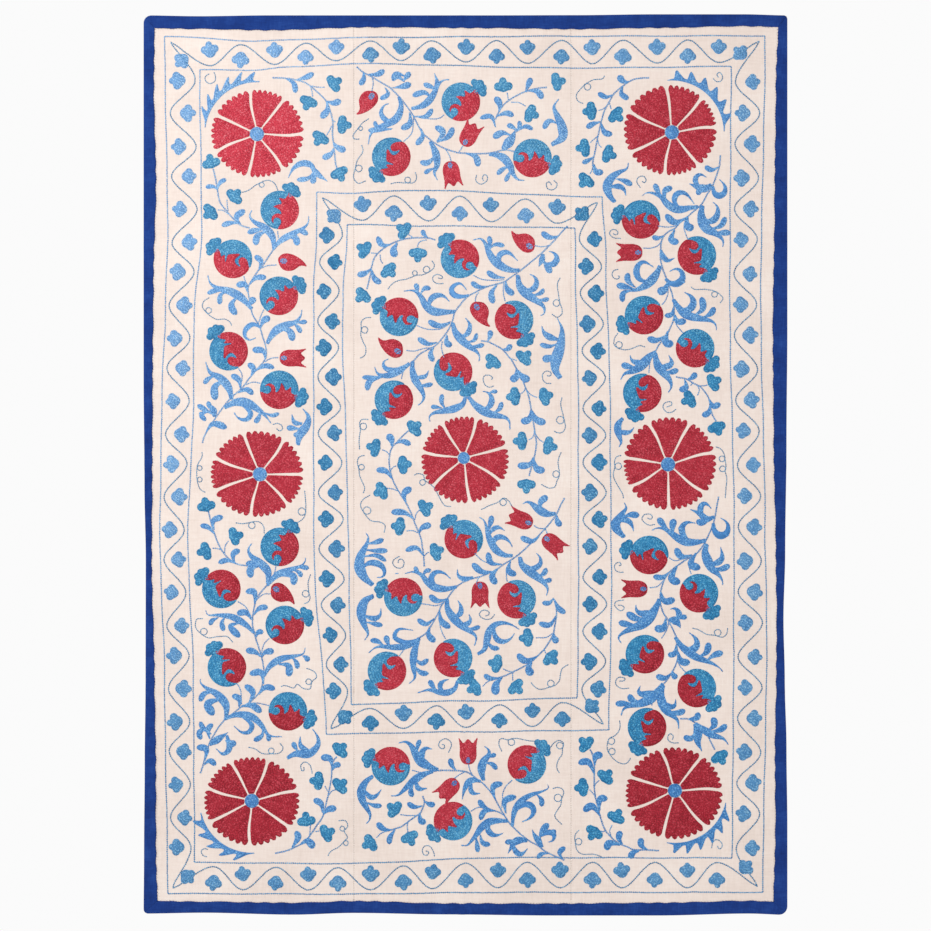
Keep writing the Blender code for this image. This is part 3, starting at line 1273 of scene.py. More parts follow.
@dataclass(frozen=True)
class BindingStrip:
    """One strip of the binding, folded over the raw edge, puckered by its stitches, with mitred ends."""

    side: Side
    step: float = 4.6
    thick: float = 0.8
    lower: float = 0.4
    upper: float = 3.0
    clear: float = 55.0
    pucker: float = 0.55

    def crossing(self, end: int, inner: bool) -> float:
        """Where this side's outline, or its inner edge, meets its neighbour's, along this side."""
        other = next(s for s in SIDES if s.across != self.side.across and s.sign == end)
        along, over = end * other.half(), self.side.sign * self.side.half()
        for _ in range(3):
            inset, width = other.at(over)
            along = end * (other.half() - inset - (width if inner else 0.0))
            inset, width = self.side.at(along)
            over = self.side.sign * (self.side.half() - inset - (width if inner else 0.0))
        return float(along)

    def ragged(self, along: np.ndarray) -> np.ndarray:
        """How far the inner edge wavers at places along the side, in mm."""
        return 0.9 * np.sin(along / 8.5 + 2 * np.sin(along / 37))

    def build(self, material: bpy.types.Material) -> bpy.types.Object:
        """Builds the strip."""
        side = self.side
        half = (HALF_ALONG, HALF_ACROSS)[side.across]
        middle = np.arange(-half + self.clear, half - self.clear + 1, self.step)
        shares = np.linspace(0, 1, 12)[:-1]
        ends = {end: (self.crossing(end, False), self.crossing(end, True)) for end in (-1, 1)}
        clear = {-1: middle[0], 1: middle[-1]}
        outer, inner, drawn = [], [], []
        for end in (-1, 1):
            corner = {0: (side.sign, end), 1: (end, side.sign)}[side.across]
            radius = CORNER_RADII[corner]
            mitre = ends[end][0] - end * (radius * (1 - math.sqrt(0.5)) + 0.2)
            mine = mitre + (clear[end] - mitre) * shares
            beyond = np.maximum(radius - np.abs(ends[end][0] - mine), 0)
            outer.append(mine)
            drawn.append(radius - np.sqrt(radius**2 - beyond**2))
            inner_end = ends[end][1] - end * 0.2
            inner.append(inner_end + (clear[end] - inner_end) * shares)
        along_out = np.concatenate([outer[0], middle, outer[1][::-1]])
        along_in = np.concatenate([inner[0], middle, inner[1][::-1]])
        rounding = np.concatenate([drawn[0], middle * 0, drawn[1][::-1]])
        radius = (self.upper - self.lower) / 2
        turn = math.pi * np.arange(5) / 4
        fold = [(-1.0 + math.sin(a), self.lower + radius * (1 - math.cos(a))) for a in turn]
        layers = ([(1.0, self.lower), (0.5, self.lower)],
                  [(s, self.upper) for s in (.18, .35, .52, .68, .82, .93, 1.0)])
        share = np.array([s for s, _ in layers[0]] + [0.0] * 5 + [s for s, _ in layers[1]])
        level = np.array([z for _, z in layers[0]] + [z for _, z in fold] + [z for _, z in layers[1]])
        bulge = np.array([0.0, 0.0] + [radius * math.sin(a) for a in turn] + [0.0] * 7)
        inset, width = side.at(along_out)
        inner_inset, inner_width = side.at(along_in)
        wobble = self.ragged(along_in) * (np.abs(along_in) < half - 60)
        deep_out = inset + rounding + radius + self.thick / 2
        deep_in = inner_inset + inner_width + wobble
        depth = deep_out[:, None] + (deep_in - deep_out)[:, None] * share - bulge
        along = along_out[:, None] + (along_in - along_out)[:, None] * share
        over = side.sign * (side.half() - depth)
        x, y = (over, along) if side.across == 0 else (along, over)
        upper = np.array([0.0] * 7 + [0.35, 0.8, 1.0, 1.0, 0.85, 0.5, 0.1])
        ripple = (np.sin(along / 5.1 + 1.7 * np.sin(along / 41) + depth / 9)
                  + 0.7 * np.sin(along / 8.7 - depth / 6 + 1))
        z = level + np.max([crease.height(x, y) for crease in CREASES], axis=0)
        z = z + upper * self.pucker * (0.5 + 0.5 * ripple / 1.7)
        z[:, -1] -= 0.25
        strip = cloth_sheet(f"binding_cloth_{side.name}", np.stack([x, y, z], 2), self.thick, 0.0, material)
        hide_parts(f"binding_{side.name}")
        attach(strip, "root")
        return strip

    def hem(self, needle: Needlework) -> None:
        """Works the small stitches that hold the strip's inner edge to the ground."""
        half = (HALF_ALONG, HALF_ACROSS)[self.side.across]
        along = np.arange(-half + 34, half - 34, 7.0)
        inset, width = self.side.at(along)
        over = self.side.sign * (self.side.half() - inset - width - self.ragged(along) - 0.4)
        x, y = (over, along) if self.side.across == 0 else (along, over)
        lean = 0.5 * math.pi * self.side.across + 0.5
        rows = np.column_stack([x, y, np.full(len(x), lean), np.full(len(x), 3.6)])
        needle.keep(Silk.HEM, [rows], 0.4, 0.5, 0.9)


@dataclass
class Embroidery:
    """Turns bundles of stitches into joined meshes that follow the cloth."""

    form: ClothForm
    patch_top: float = 0.35
    patch_bottom: float = -0.15
    lifts: dict = field(default_factory=lambda: {Silk.HEM: 2.2, Silk.SEAM: -0.4})

    def grain(self) -> tuple[np.ndarray, np.ndarray]:
        """One stitch, as a plump grain of length, width and height 1."""
        bm = bmesh.new()
        bmesh.ops.create_uvsphere(bm, u_segments=4, v_segments=2, radius=1.0)
        bmesh.ops.scale(bm, vec=(0.5, 0.5, 1.0), verts=bm.verts)
        bmesh.ops.triangulate(bm, faces=bm.faces)
        bm.verts.index_update()
        spots = np.array([v.co[:] for v in bm.verts])
        faces = np.array([[v.index for v in f.verts] for f in bm.faces])
        bm.free()
        return spots, faces

    def patches(self, patches: list) -> tuple[np.ndarray, np.ndarray, np.ndarray]:
        """A thin sheet under filled shapes that stands for the silk between stitches; its dark shade is
        painted shade in the gaps between them.

        Args:
            patches: Pairs of an outline and how far its silk has faded.

        Returns:
            Points in mm, triangles, and each point's fade.
        """
        bm = bmesh.new()
        layer = bm.verts.layers.float.new("fade")
        for outline, fade in patches:
            edge = outline - normals_of(outline, closed=True) * 0.1
            loop = resampled(np.vstack([edge, edge[:1]]), max(12, int(path_length(edge) / 5.5)))[:-1]
            verts = [bm.verts.new((x, y, 0.0)) for x, y in loop]
            for vert in verts:
                vert[layer] = fade
            face = bm.faces.new(verts)
            if face.normal.z < 0:
                face.normal_flip()
        bmesh.ops.recalc_face_normals(bm, faces=bm.faces)
        for face in bm.faces:
            face.normal_update()
            if face.normal.z < 0:
                face.normal_flip()
        bmesh.ops.triangulate(bm, faces=bm.faces, ngon_method="EAR_CLIP")
        for crease in CREASES:
            across = (1.0, 0.0, 0.0) if crease.across == 0 else (0.0, 1.0, 0.0)
            for k in (-1, -0.5, 0, 0.5, 1):
                spot = tuple(a * (crease.at + k * crease.half_width) for a in across)
                geometry = list(bm.verts) + list(bm.edges) + list(bm.faces)
                bmesh.ops.bisect_plane(bm, geom=geometry, plane_co=spot, plane_no=across)
        bmesh.ops.triangulate(bm, faces=bm.faces)
        under = list(bm.faces)
        made = bmesh.ops.extrude_face_region(bm, geom=under, use_keep_orig=True)["geom"]
        for vert in (v for v in made if isinstance(v, bmesh.types.BMVert)):
            vert.co.z = 1.0
        bmesh.ops.reverse_faces(bm, faces=under)
        bmesh.ops.triangulate(bm, faces=bm.faces)
        bm.verts.index_update()
        spots = np.array([v.co[:] for v in bm.verts])
        fades = np.array([v[layer] for v in bm.verts])
        faces = np.array([[v.index for v in f.verts] for f in bm.faces])
        bm.free()
        height = np.where(spots[:, 2] > 0.5, self.patch_top, self.patch_bottom)
        spots[:, 2] = self.form.top(spots[:, 0], spots[:, 1]) + height
        return spots, faces, fades

    def build(self, panel: Panel, silk: Silk, bundle: Bundle,
              material: bpy.types.Material) -> bpy.types.Object:
        """Builds one piece.

        Args:
            panel: The panel that it is on.
            silk: Its thread.
            bundle: Its stitches and patches.
            material: The thread's finish.

        Returns:
            The object.
        """
        grain, grain_faces = self.grain()
        rows = np.vstack(bundle.stitches)
        x, y, angle, length, width, high, shade, fade = rows.T[:, :, None]
        across, along = grain[:, 0] * length, grain[:, 1] * width
        px = x + across * np.cos(angle) - along * np.sin(angle)
        py = y + across * np.sin(angle) + along * np.cos(angle)
        base = self.patch_top + self.lifts.get(silk, 0.0)
        pz = self.form.top(px, py) + base + grain[:, 2] * high
        # Points near each stitch's middle are painted lighter and its two ends darker: a painted highlight
        # on the crown and painted shade where the chain dips.
        tip = 0.10 * (np.abs(grain[:, 0]) < 0.1) - 0.10 * (np.abs(grain[:, 0]) > 0.4)
        shades = np.clip(shade + tip + 0 * px, 0, 1)
        spots = [np.stack([px, py, pz], 2).reshape(-1, 3)]
        starts = np.arange(len(rows)) * len(grain)
        faces = [(grain_faces[None] + starts[:, None, None]).reshape(-1, 3)]
        shades, fades = [shades.ravel()], [(fade + 0 * px).ravel()]
        if bundle.patches:
            more, tris, tones = self.patches(bundle.patches)
            faces.append(tris + len(spots[0]))
            spots.append(more)
            # The sheet takes a dark shade of the silk: painted shade that shows in the gaps between
            # stitches.
            shades.append(np.full(len(more), 0.22))
            fades.append(tones)
        name = f"embroidery_{panel.value}_{silk.value}"
        mesh = self.joined(name, np.vstack(spots) * MM, np.vstack(faces))
        for key, values in (("shade", np.concatenate(shades)), ("fade", np.concatenate(fades))):
            layer = mesh.attributes.new(key, "FLOAT", "POINT")
            layer.data.foreach_set("value", values.astype(np.float32))
        obj = link(mesh, name, material)
        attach(obj, "root")
        return obj

    def joined(self, name: str, spots: np.ndarray, faces: np.ndarray) -> bpy.types.Mesh:
        """One mesh from points and triangles, with its map as seen from above."""
        mesh = bpy.data.meshes.new(name)
        mesh.vertices.add(len(spots))
        mesh.vertices.foreach_set("co", spots.astype(np.float32).ravel())
        mesh.loops.add(faces.size)
        mesh.loops.foreach_set("vertex_index", faces.astype(np.int32).ravel())
        mesh.polygons.add(len(faces))
        mesh.polygons.foreach_set("loop_start", np.arange(0, faces.size, 3, dtype=np.int32))
        mesh.update(calc_edges=True)
        mesh.shade_smooth()
        flat = spots[faces.ravel(), :2]
        low, high = flat.min(0), flat.max(0)
        uv = mesh.uv_layers.new(name=BAKE_MAP)
        uv.data.foreach_set("uv", ((flat - low) / (high - low)).astype(np.float32).ravel())
        return mesh


@dataclass(frozen=True)
class Spray:
    """A part of the trailing growth, all in mm.

    Stems are rows of points. Clubs (round-tipped leaves) and horns (pointed ones) are rows of a width
    and points from root to tip. Trefoils are rows of (x, y, way), and tendrils are rows of points and
    curls. twigs are thin stems.
    """

    stems: tuple = ()
    twigs: tuple = ()
    clubs: tuple = ()
    horns: tuple = ()
    trefoils: tuple = ()
    tendrils: tuple = ()

    def work(self, needle: Needlework) -> None:
        """Works the stems first, then what they carry."""
        for points in self.stems:
            Stem(points, rows=2, wide=2.0).work(needle)
        for points in self.twigs:
            Stem(points, wide=2.9).work(needle)
        for kind, leaves in ((Blade.HORN, self.horns), (Blade.CLUB, self.clubs)):
            for width, *points in leaves:
                Leaf(kind, width, tuple(points)).work(needle)
        for flower in self.trefoils:
            Trefoil(*flower).work(needle)
        for points, curls in self.tendrils:
            Tendril(points, curls).work(needle)


# --- The design -----------------------------------------------------------------------------------

RIGHT_HAND, LEFT_HAND = True, False

FLOWERS = (
    Rosette(-486, 771, (0, 52, 99, 155, 203, 258, 307), (1, 1), ry=103),
    Rosette(481, 775, (7, 49, 97, 154, 206, 260, 309), (-4, 5), ry=106),
    Rosette(-479, -22, (0, 55, 112, 160, 200, 257, 313), (-7, 1), ry=101),
    Rosette(472, 1, (15, 62, 115, 171, 211, 271, 322), (4, 2), ry=109),
    Rosette(-4, 16, (15, 72, 122, 172, 222, 278, 328), (3, -4), rx=103, ry=102, eye=14),
    Rosette(-498, -783, (13, 68, 118, 164, 207, 267, 325), (0, -1), rx=112, ry=104),
    Rosette(488, -759, (1, 52, 109, 163, 203, 255, 310), (-2, -6), rx=114, ry=108),
    Crescent(-486, 771, 87, 173),
    Crescent(481, 775, 96, 0, lean=-4),
    Crescent(-498, -783, 193, 273, teeth=5),
    Crescent(488, -760, 261, 348, lean=5),
)

FRUIT = (
    Pomegranate(-433, 594, 62),
    Pomegranate(-542, 480, 145, LEFT_HAND, Rind.EYE),
    Pomegranate(-435, 394, 32),
    Pomegranate(-552, 265, 128, RIGHT_HAND, Rind.EYE),
    Pomegranate(-434, 175, -17),
    Pomegranate(-433, -191, 64),
    Pomegranate(-569, -289, 150, RIGHT_HAND, Rind.EYE),
    Pomegranate(-421, -373, 24),
    Pomegranate(-556, -472, 128, RIGHT_HAND, Rind.EYE),
    Pomegranate(-414, -574, -18),
    Pomegranate(-11, 846, 41),
    Pomegranate(-173, 718, 229, LEFT_HAND, Rind.EYE),
    Pomegranate(156, 715, -15),
    Pomegranate(-13, 480, 130),
    Pomegranate(-155, 345, 152),
    Pomegranate(113, 338, -56, RIGHT_HAND, Rind.EYE),
    Pomegranate(-29, 217, -50, LEFT_HAND, Rind.EYE),
    Pomegranate(-167, 152, 229, LEFT_HAND, Rind.EYE),
    Pomegranate(-4, -173, 130, LEFT_HAND, Rind.EYE),
    Pomegranate(-145, -308, 161),
    Pomegranate(119, -313, -58, RIGHT_HAND, Rind.EYE),
    Pomegranate(-29, -450, -52, RIGHT_HAND, Rind.EYE),
    Pomegranate(-183, -480, 226, LEFT_HAND, Rind.EYE),
    Pomegranate(-174, -702, 162),
    Pomegranate(143, -698, 45, LEFT_HAND, Rind.EYE),
    Pomegranate(-29, -830, 215),
    Pomegranate(409, 572, 165, LEFT_HAND, Rind.EYE),
    Pomegranate(539, 488, -54, RIGHT_HAND, Rind.EYE),
    Pomegranate(416, 349, 204, LEFT_HAND, Rind.EYE),
    Pomegranate(535, 272, -41),
    Pomegranate(412, 168, 248, LEFT_HAND, Rind.EYE),
    Pomegranate(428, -210, 164, LEFT_HAND, Rind.EYE),
    Pomegranate(544, -299, -53),
    Pomegranate(418, -441, 215, LEFT_HAND, Rind.EYE),
    Pomegranate(539, -520, -40, RIGHT_HAND, Rind.EYE),
    Pomegranate(423, -611, 244, LEFT_HAND, Rind.EYE),
)

BUDS = (
    Tulip(-402, 249, 0),
    Tulip(10, 771, 62),
    Tulip(-32, 677, -80),
    Tulip(381, 495, 180),
    Tulip(393, -289, 180),
    Tulip(127, -127, 158),
    Tulip(206, -186, -40),
    Tulip(34, -303, -90),
    Tulip(6, -667, 90),
    Tulip(-41, -757, 225),
    DropBud(-408, 473, -8),
    DropBud(-428, -299, -35),
    DropBud(-228, 846, 235),
    DropBud(136, 519, 144),
    DropBud(34, 354, -61, hook=1.0),
    DropBud(-172, 273, 150),
)

# The left panel, from the top rosette to the middle one.
LEFT_UPPER = Spray(
    stems=(
        ((-447, 503), (-457, 488), (-474, 463), (-485, 450), (-503, 422), (-507, 408), (-503, 382),
         (-496, 350), (-481, 325), (-473, 300), (-465, 272), (-467, 246), (-487, 222), (-503, 203),
         (-522, 178), (-545, 158), (-562, 138), (-580, 113), (-600, 82), (-609, 66), (-613, 51)),
        ((-450, 902), (-420, 901), (-395, 897), (-372, 890), (-350, 873), (-325, 848), (-313, 817),
         (-309, 795), (-310, 770), (-306, 740), (-303, 705), (-299, 690)),
        ((-588, 690), (-582, 665), (-578, 640), (-572, 612), (-555, 590), (-540, 572), (-525, 559),
         (-503, 552)),
    ),
    twigs=(
        ((-358, 883), (-345, 880), (-328, 880)),
        ((-361, 882), (-358, 870), (-356, 858)),
        ((-310, 803), (-303, 799)),
        ((-312, 790), (-318, 777), (-324, 768)),
        ((-556, 618), (-555, 603), (-553, 592)),
        ((-578, 594), (-565, 593), (-553, 584)),
        ((-438, 545), (-436, 528)),
        ((-477, 458), (-462, 464), (-440, 466)),
        ((-517, 440), (-510, 420)),
        ((-470, 362), (-478, 345), (-483, 328)),
        ((-467, 240), (-455, 248), (-436, 250)),
        ((-530, 226), (-521, 212), (-521, 195)),
        ((-478, 190), (-495, 193), (-512, 187)),
    ),
    clubs=(
        (15, (-395, 897), (-372, 903), (-353, 913)),
        (15, (-418, 900), (-400, 889), (-396, 866)),
        (17, (-325, 848), (-308, 843), (-289, 849)),
        (18, (-323, 846), (-322, 826), (-338, 808)),
        (18, (-308, 752), (-297, 739), (-278, 733)),
        (17, (-307, 738), (-314, 724), (-334, 714)),
        (12, (-579, 640), (-572, 658), (-556, 666)),
        (12, (-577, 640), (-588, 649), (-607, 647)),
        (17, (-524, 560), (-534, 578), (-513, 594)),
        (14, (-526, 563), (-548, 564), (-569, 557)),
        (13, (-352, 686), (-366, 668), (-394, 664)),
        (16, (-350, 684), (-357, 654)),
        (15, (-466, 550), (-488, 547), (-509, 541)),
        (18, (-462, 546), (-485, 533), (-489, 511)),
        (14, (-405, 540), (-385, 546), (-366, 536)),
        (18, (-420, 528), (-398, 531), (-391, 510)),
        (15, (-482, 455), (-476, 474), (-492, 488)),
        (15, (-503, 421), (-488, 436), (-463, 437)),
        (17, (-508, 402), (-513, 420), (-535, 419)),
        (18, (-505, 370), (-491, 391)),
        (13, (-555, 406), (-580, 407), (-603, 399)),
        (14, (-558, 402), (-571, 396), (-573, 373)),
        (18, (-530, 394), (-546, 372), (-534, 349)),
        (18, (-478, 320), (-470, 337), (-454, 343)),
        (12, (-395, 331), (-368, 334)),
        (13, (-402, 332), (-390, 320), (-383, 307)),
        (19, (-434, 316), (-410, 312), (-402, 288)),
        (17, (-466, 246), (-472, 266), (-498, 268)),
        (16, (-500, 206), (-494, 225), (-508, 236)),
        (14, (-492, 218), (-468, 231), (-445, 226)),
        (16, (-524, 176), (-528, 198), (-547, 210)),
        (15, (-530, 168), (-510, 176), (-494, 164)),
        (13, (-582, 208), (-598, 202), (-611, 188)),
        (20, (-558, 198), (-584, 182), (-583, 150)),
        (14, (-590, 118), (-612, 132), (-626, 140)),
        (13, (-590, 122), (-597, 138), (-601, 149)),
        (13, (-594, 126), (-616, 118), (-604, 102)),
        (17, (-605, 76), (-588, 96), (-555, 86)),
        (14, (-478, 126), (-482, 110), (-492, 97)),
        (11, (-470, 122), (-450, 115), (-433, 121)),
        (15, (-385, 84), (-418, 87)),
        (13, (-386, 78), (-400, 66)),
    ),
    horns=(
        (17, (-351, 680), (-358, 697), (-378, 703), (-400, 692), (-414, 667)),
        (16, (-360, 696), (-345, 678), (-320, 660)),
        (20, (-446, 503), (-450, 532), (-468, 553), (-492, 566), (-503, 580), (-497, 596)),
        (17, (-449, 502), (-430, 523), (-402, 539), (-376, 553), (-366, 566), (-366, 581)),
        (22, (-498, 363), (-520, 388), (-548, 404), (-578, 412), (-595, 424), (-601, 444)),
        (14, (-477, 320), (-495, 328), (-512, 316), (-514, 300), (-503, 291), (-487, 297)),
        (22, (-463, 283), (-445, 310), (-420, 325), (-396, 333), (-384, 347), (-381, 363)),
        (22, (-545, 152), (-552, 180), (-572, 203), (-596, 216), (-606, 242)),
        (18, (-585, 112), (-588, 130), (-600, 142)),
        (24, (-562, 134), (-535, 146), (-508, 144), (-485, 130), (-467, 115), (-452, 95)),
        (14, (-520, 140), (-501, 122), (-509, 106), (-528, 108), (-541, 124)),
        (24, (-391, 46), (-386, 70), (-370, 92), (-366, 113), (-381, 133)),
        (13, (-380, 96), (-399, 99), (-405, 120)),
    ),
    trefoils=(
        (-307, 889, 35), (-366, 846, -110), (-286, 793, 0), (-338, 762, -122), (-294, 680, -60),
        (-593, 704, 108), (-539, 625, 45), (-594, 590, 215),
    ),
    tendrils=(
        (((-597, 911), (-605, 907), (-607, 898), (-601, 890), (-592, 889), (-583, 896), (-583, 908),
          (-587, 915)), ()),
        (((-521, 635), (-505, 640), (-490, 651), (-465, 663), (-448, 659), (-440, 648), (-437, 639)),
         ((0.48, 6, -1),)),
        (((-597, 390), (-611, 380), (-612, 366), (-598, 350), (-580, 339), (-562, 340), (-550, 334),
          (-545, 324)), ((0.40, 7, 1),)),
        (((-449, 94), (-438, 97), (-428, 92), (-427, 82), (-435, 79), (-440, 85)), ()),
        (((-614, 30), (-614, 18), (-623, 3), (-626, -12), (-626, -28), (-623, -46), (-617, -58),
          (-606, -64)), ((0.38, 6, 1), (0.66, 6, 1))),
    ),
)

# The left panel, from the middle rosette to the bottom one.
LEFT_LOWER = Spray(
    stems=(
        ((-599, -108), (-594, -130), (-587, -155), (-573, -190), (-558, -212), (-535, -230),
         (-503, -236)),
        ((-462, -280), (-478, -298), (-488, -315), (-493, -335), (-496, -355), (-496, -375),
         (-490, -400), (-483, -422), (-476, -445), (-471, -468), (-470, -485), (-473, -510),
         (-480, -530), (-495, -546), (-507, -556), (-525, -566), (-540, -578), (-557, -590)),
        ((-560, -592), (-580, -618), (-597, -650), (-606, -678), (-612, -702), (-618, -719)),
    ),
    twigs=(
        ((-590, -194), (-578, -195), (-566, -199)),
        ((-552, -177), (-560, -188), (-561, -205)),
        ((-442, -236), (-446, -255), (-459, -276)),
        ((-488, -315), (-472, -302), (-452, -300)),
        ((-531, -318), (-513, -330), (-500, -352)),
        ((-457, -404), (-470, -418), (-476, -442)),
        ((-533, -509), (-524, -525), (-522, -558)),
        ((-510, -556), (-485, -555), (-458, -561)),
    ),
    clubs=(
        (16, (-586, -152), (-588, -130), (-564, -120)),
        (14, (-584, -162), (-600, -145), (-619, -141)),
        (16, (-538, -230), (-542, -208), (-525, -198)),
        (14, (-534, -230), (-556, -222), (-577, -229)),
        (14, (-476, -230), (-495, -228), (-513, -231)),
        (19, (-472, -233), (-500, -240), (-500, -264)),
        (13, (-395, -240), (-382, -238), (-364, -241)),
        (13, (-400, -246), (-388, -250), (-382, -262)),
        (19, (-432, -258), (-402, -258), (-401, -281)),
        (16, (-491, -325), (-492, -296), (-513, -296)),
        (15, (-494, -350), (-480, -334), (-459, -331)),
        (17, (-497, -362), (-512, -344), (-534, -347)),
        (14, (-488, -402), (-484, -390), (-470, -389)),
        (13, (-575, -356), (-590, -362), (-596, -374)),
        (14, (-560, -354), (-568, -368), (-563, -388)),
        (18, (-525, -368), (-548, -376), (-525, -402)),
        (17, (-476, -448), (-490, -436), (-513, -431)),
        (17, (-475, -448), (-466, -436), (-445, -434)),
        (15, (-380, -444), (-370, -450), (-368, -459)),
        (14, (-405, -448), (-394, -460), (-391, -476)),
        (19, (-436, -464), (-412, -468), (-412, -494)),
        (17, (-471, -512), (-476, -484), (-504, -487)),
        (16, (-482, -535), (-466, -518), (-443, -522)),
        (17, (-505, -556), (-495, -530), (-515, -513)),
        (16, (-528, -566), (-527, -545), (-545, -537)),
        (18, (-525, -563), (-497, -561), (-475, -577)),
        (15, (-585, -530), (-608, -532), (-620, -552)),
        (22, (-565, -545), (-600, -556), (-587, -584)),
        (14, (-596, -640), (-600, -616), (-588, -603)),
        (13, (-592, -628), (-612, -612), (-619, -597)),
        (15, (-597, -612), (-620, -622), (-616, -641)),
        (17, (-560, -640), (-548, -648), (-533, -650)),
        (17, (-608, -690), (-604, -662), (-628, -658)),
        (15, (-610, -699), (-596, -689), (-581, -700)),
        (14, (-472, -616), (-475, -632), (-494, -643)),
        (13, (-466, -620), (-459, -632), (-459, -645)),
        (14, (-390, -668), (-398, -656), (-402, -645)),
    ),
    horns=(
        (22, (-461, -278), (-460, -250), (-478, -229), (-500, -212), (-506, -196), (-496, -181)),
        (18, (-462, -281), (-440, -257), (-410, -245), (-385, -236), (-374, -226), (-374, -215)),
        (18, (-492, -392), (-515, -370), (-545, -354), (-580, -350), (-600, -350), (-606, -337)),
        (18, (-470, -492), (-455, -468), (-430, -452), (-400, -446), (-378, -440), (-373, -424)),
        (22, (-558, -590), (-558, -560), (-578, -535), (-604, -520), (-618, -507), (-616, -496)),
        (19, (-562, -592), (-532, -582), (-500, -586), (-477, -605), (-458, -630), (-426, -634)),
        (13, (-518, -588), (-498, -605), (-504, -622), (-522, -623), (-541, -607)),
        (20, (-597, -652), (-578, -640), (-560, -628), (-552, -622)),
        (16, (-556, -630), (-550, -660), (-565, -674), (-582, -660)),
        (22, (-416, -683), (-395, -673), (-365, -673), (-345, -655), (-344, -635), (-358, -613)),
        (14, (-362, -668), (-384, -655), (-385, -630)),
    ),
    trefoils=(
        (-604, -96, 98), (-606, -201, 200), (-538, -166, 20), (-293, -665, 40),
    ),
    tendrils=(
        (((-536, -135), (-517, -137), (-498, -133), (-480, -133), (-470, -145), (-469, -160)),
         ((0.44, 8, -1),)),
        (((-375, -60), (-372, -90), (-373, -113), (-380, -127), (-393, -135)), ((0.60, 9, -1),)),
        (((-361, -255), (-367, -275), (-365, -297), (-362, -310), (-367, -320), (-376, -323)),
         ((0.58, 8, -1),)),
        (((-612, -358), (-627, -360), (-629, -378), (-618, -392), (-600, -403), (-575, -400),
          (-555, -400), (-542, -414)), ((0.42, 8, 1),)),
        (((-371, -474), (-352, -482), (-347, -495), (-358, -505), (-362, -522), (-380, -520),
          (-392, -510), (-400, -520), (-420, -514), (-430, -517)), ((0.36, 7, -1),)),
        (((-506, -658), (-490, -662), (-473, -673), (-452, -673), (-435, -672), (-425, -660),
          (-433, -648)), ((0.55, 7, 1),)),
        (((-357, -720), (-362, -700), (-374, -692), (-384, -700), (-382, -712), (-376, -712),
          (-377, -704)), ()),
        (((-602, -913), (-612, -910), (-616, -900), (-609, -894), (-600, -896)), ()),
        (((-296, -829), (-280, -829), (-274, -842), (-283, -853), (-275, -868), (-283, -877),
          (-295, -890), (-313, -900), (-321, -911)), ((0.34, 6, -1), (0.60, 6, 1))),
    ),
)

# The growth to the right of the bottom left rosette.
LEFT_CORNER = Spray(
    stems=(
        ((-444, -905), (-420, -900), (-400, -892), (-375, -878), (-360, -860), (-345, -838),
         (-333, -820), (-325, -790), (-318, -760), (-312, -725), (-312, -705), (-308, -690),
         (-300, -680)),
    ),
    twigs=(
        ((-320, -762), (-328, -748)),
        ((-319, -770), (-311, -760), (-303, -757)),
        ((-364, -868), (-362, -850), (-361, -838)),
        ((-350, -854), (-340, -853)),
    ),
    clubs=(
        (17, (-405, -893), (-390, -868), (-397, -853)),
        (20, (-385, -884), (-368, -876), (-352, -893)),
        (17, (-333, -812), (-336, -790), (-355, -779)),
        (18, (-333, -815), (-318, -802), (-300, -801)),
        (18, (-311, -705), (-316, -684), (-338, -682)),
        (16, (-311, -712), (-304, -700), (-290, -699)),
    ),
    trefoils=(
        (-343, -736, 175), (-293, -748, 40), (-371, -829, 100), (-324, -858, 30),
    ),
)

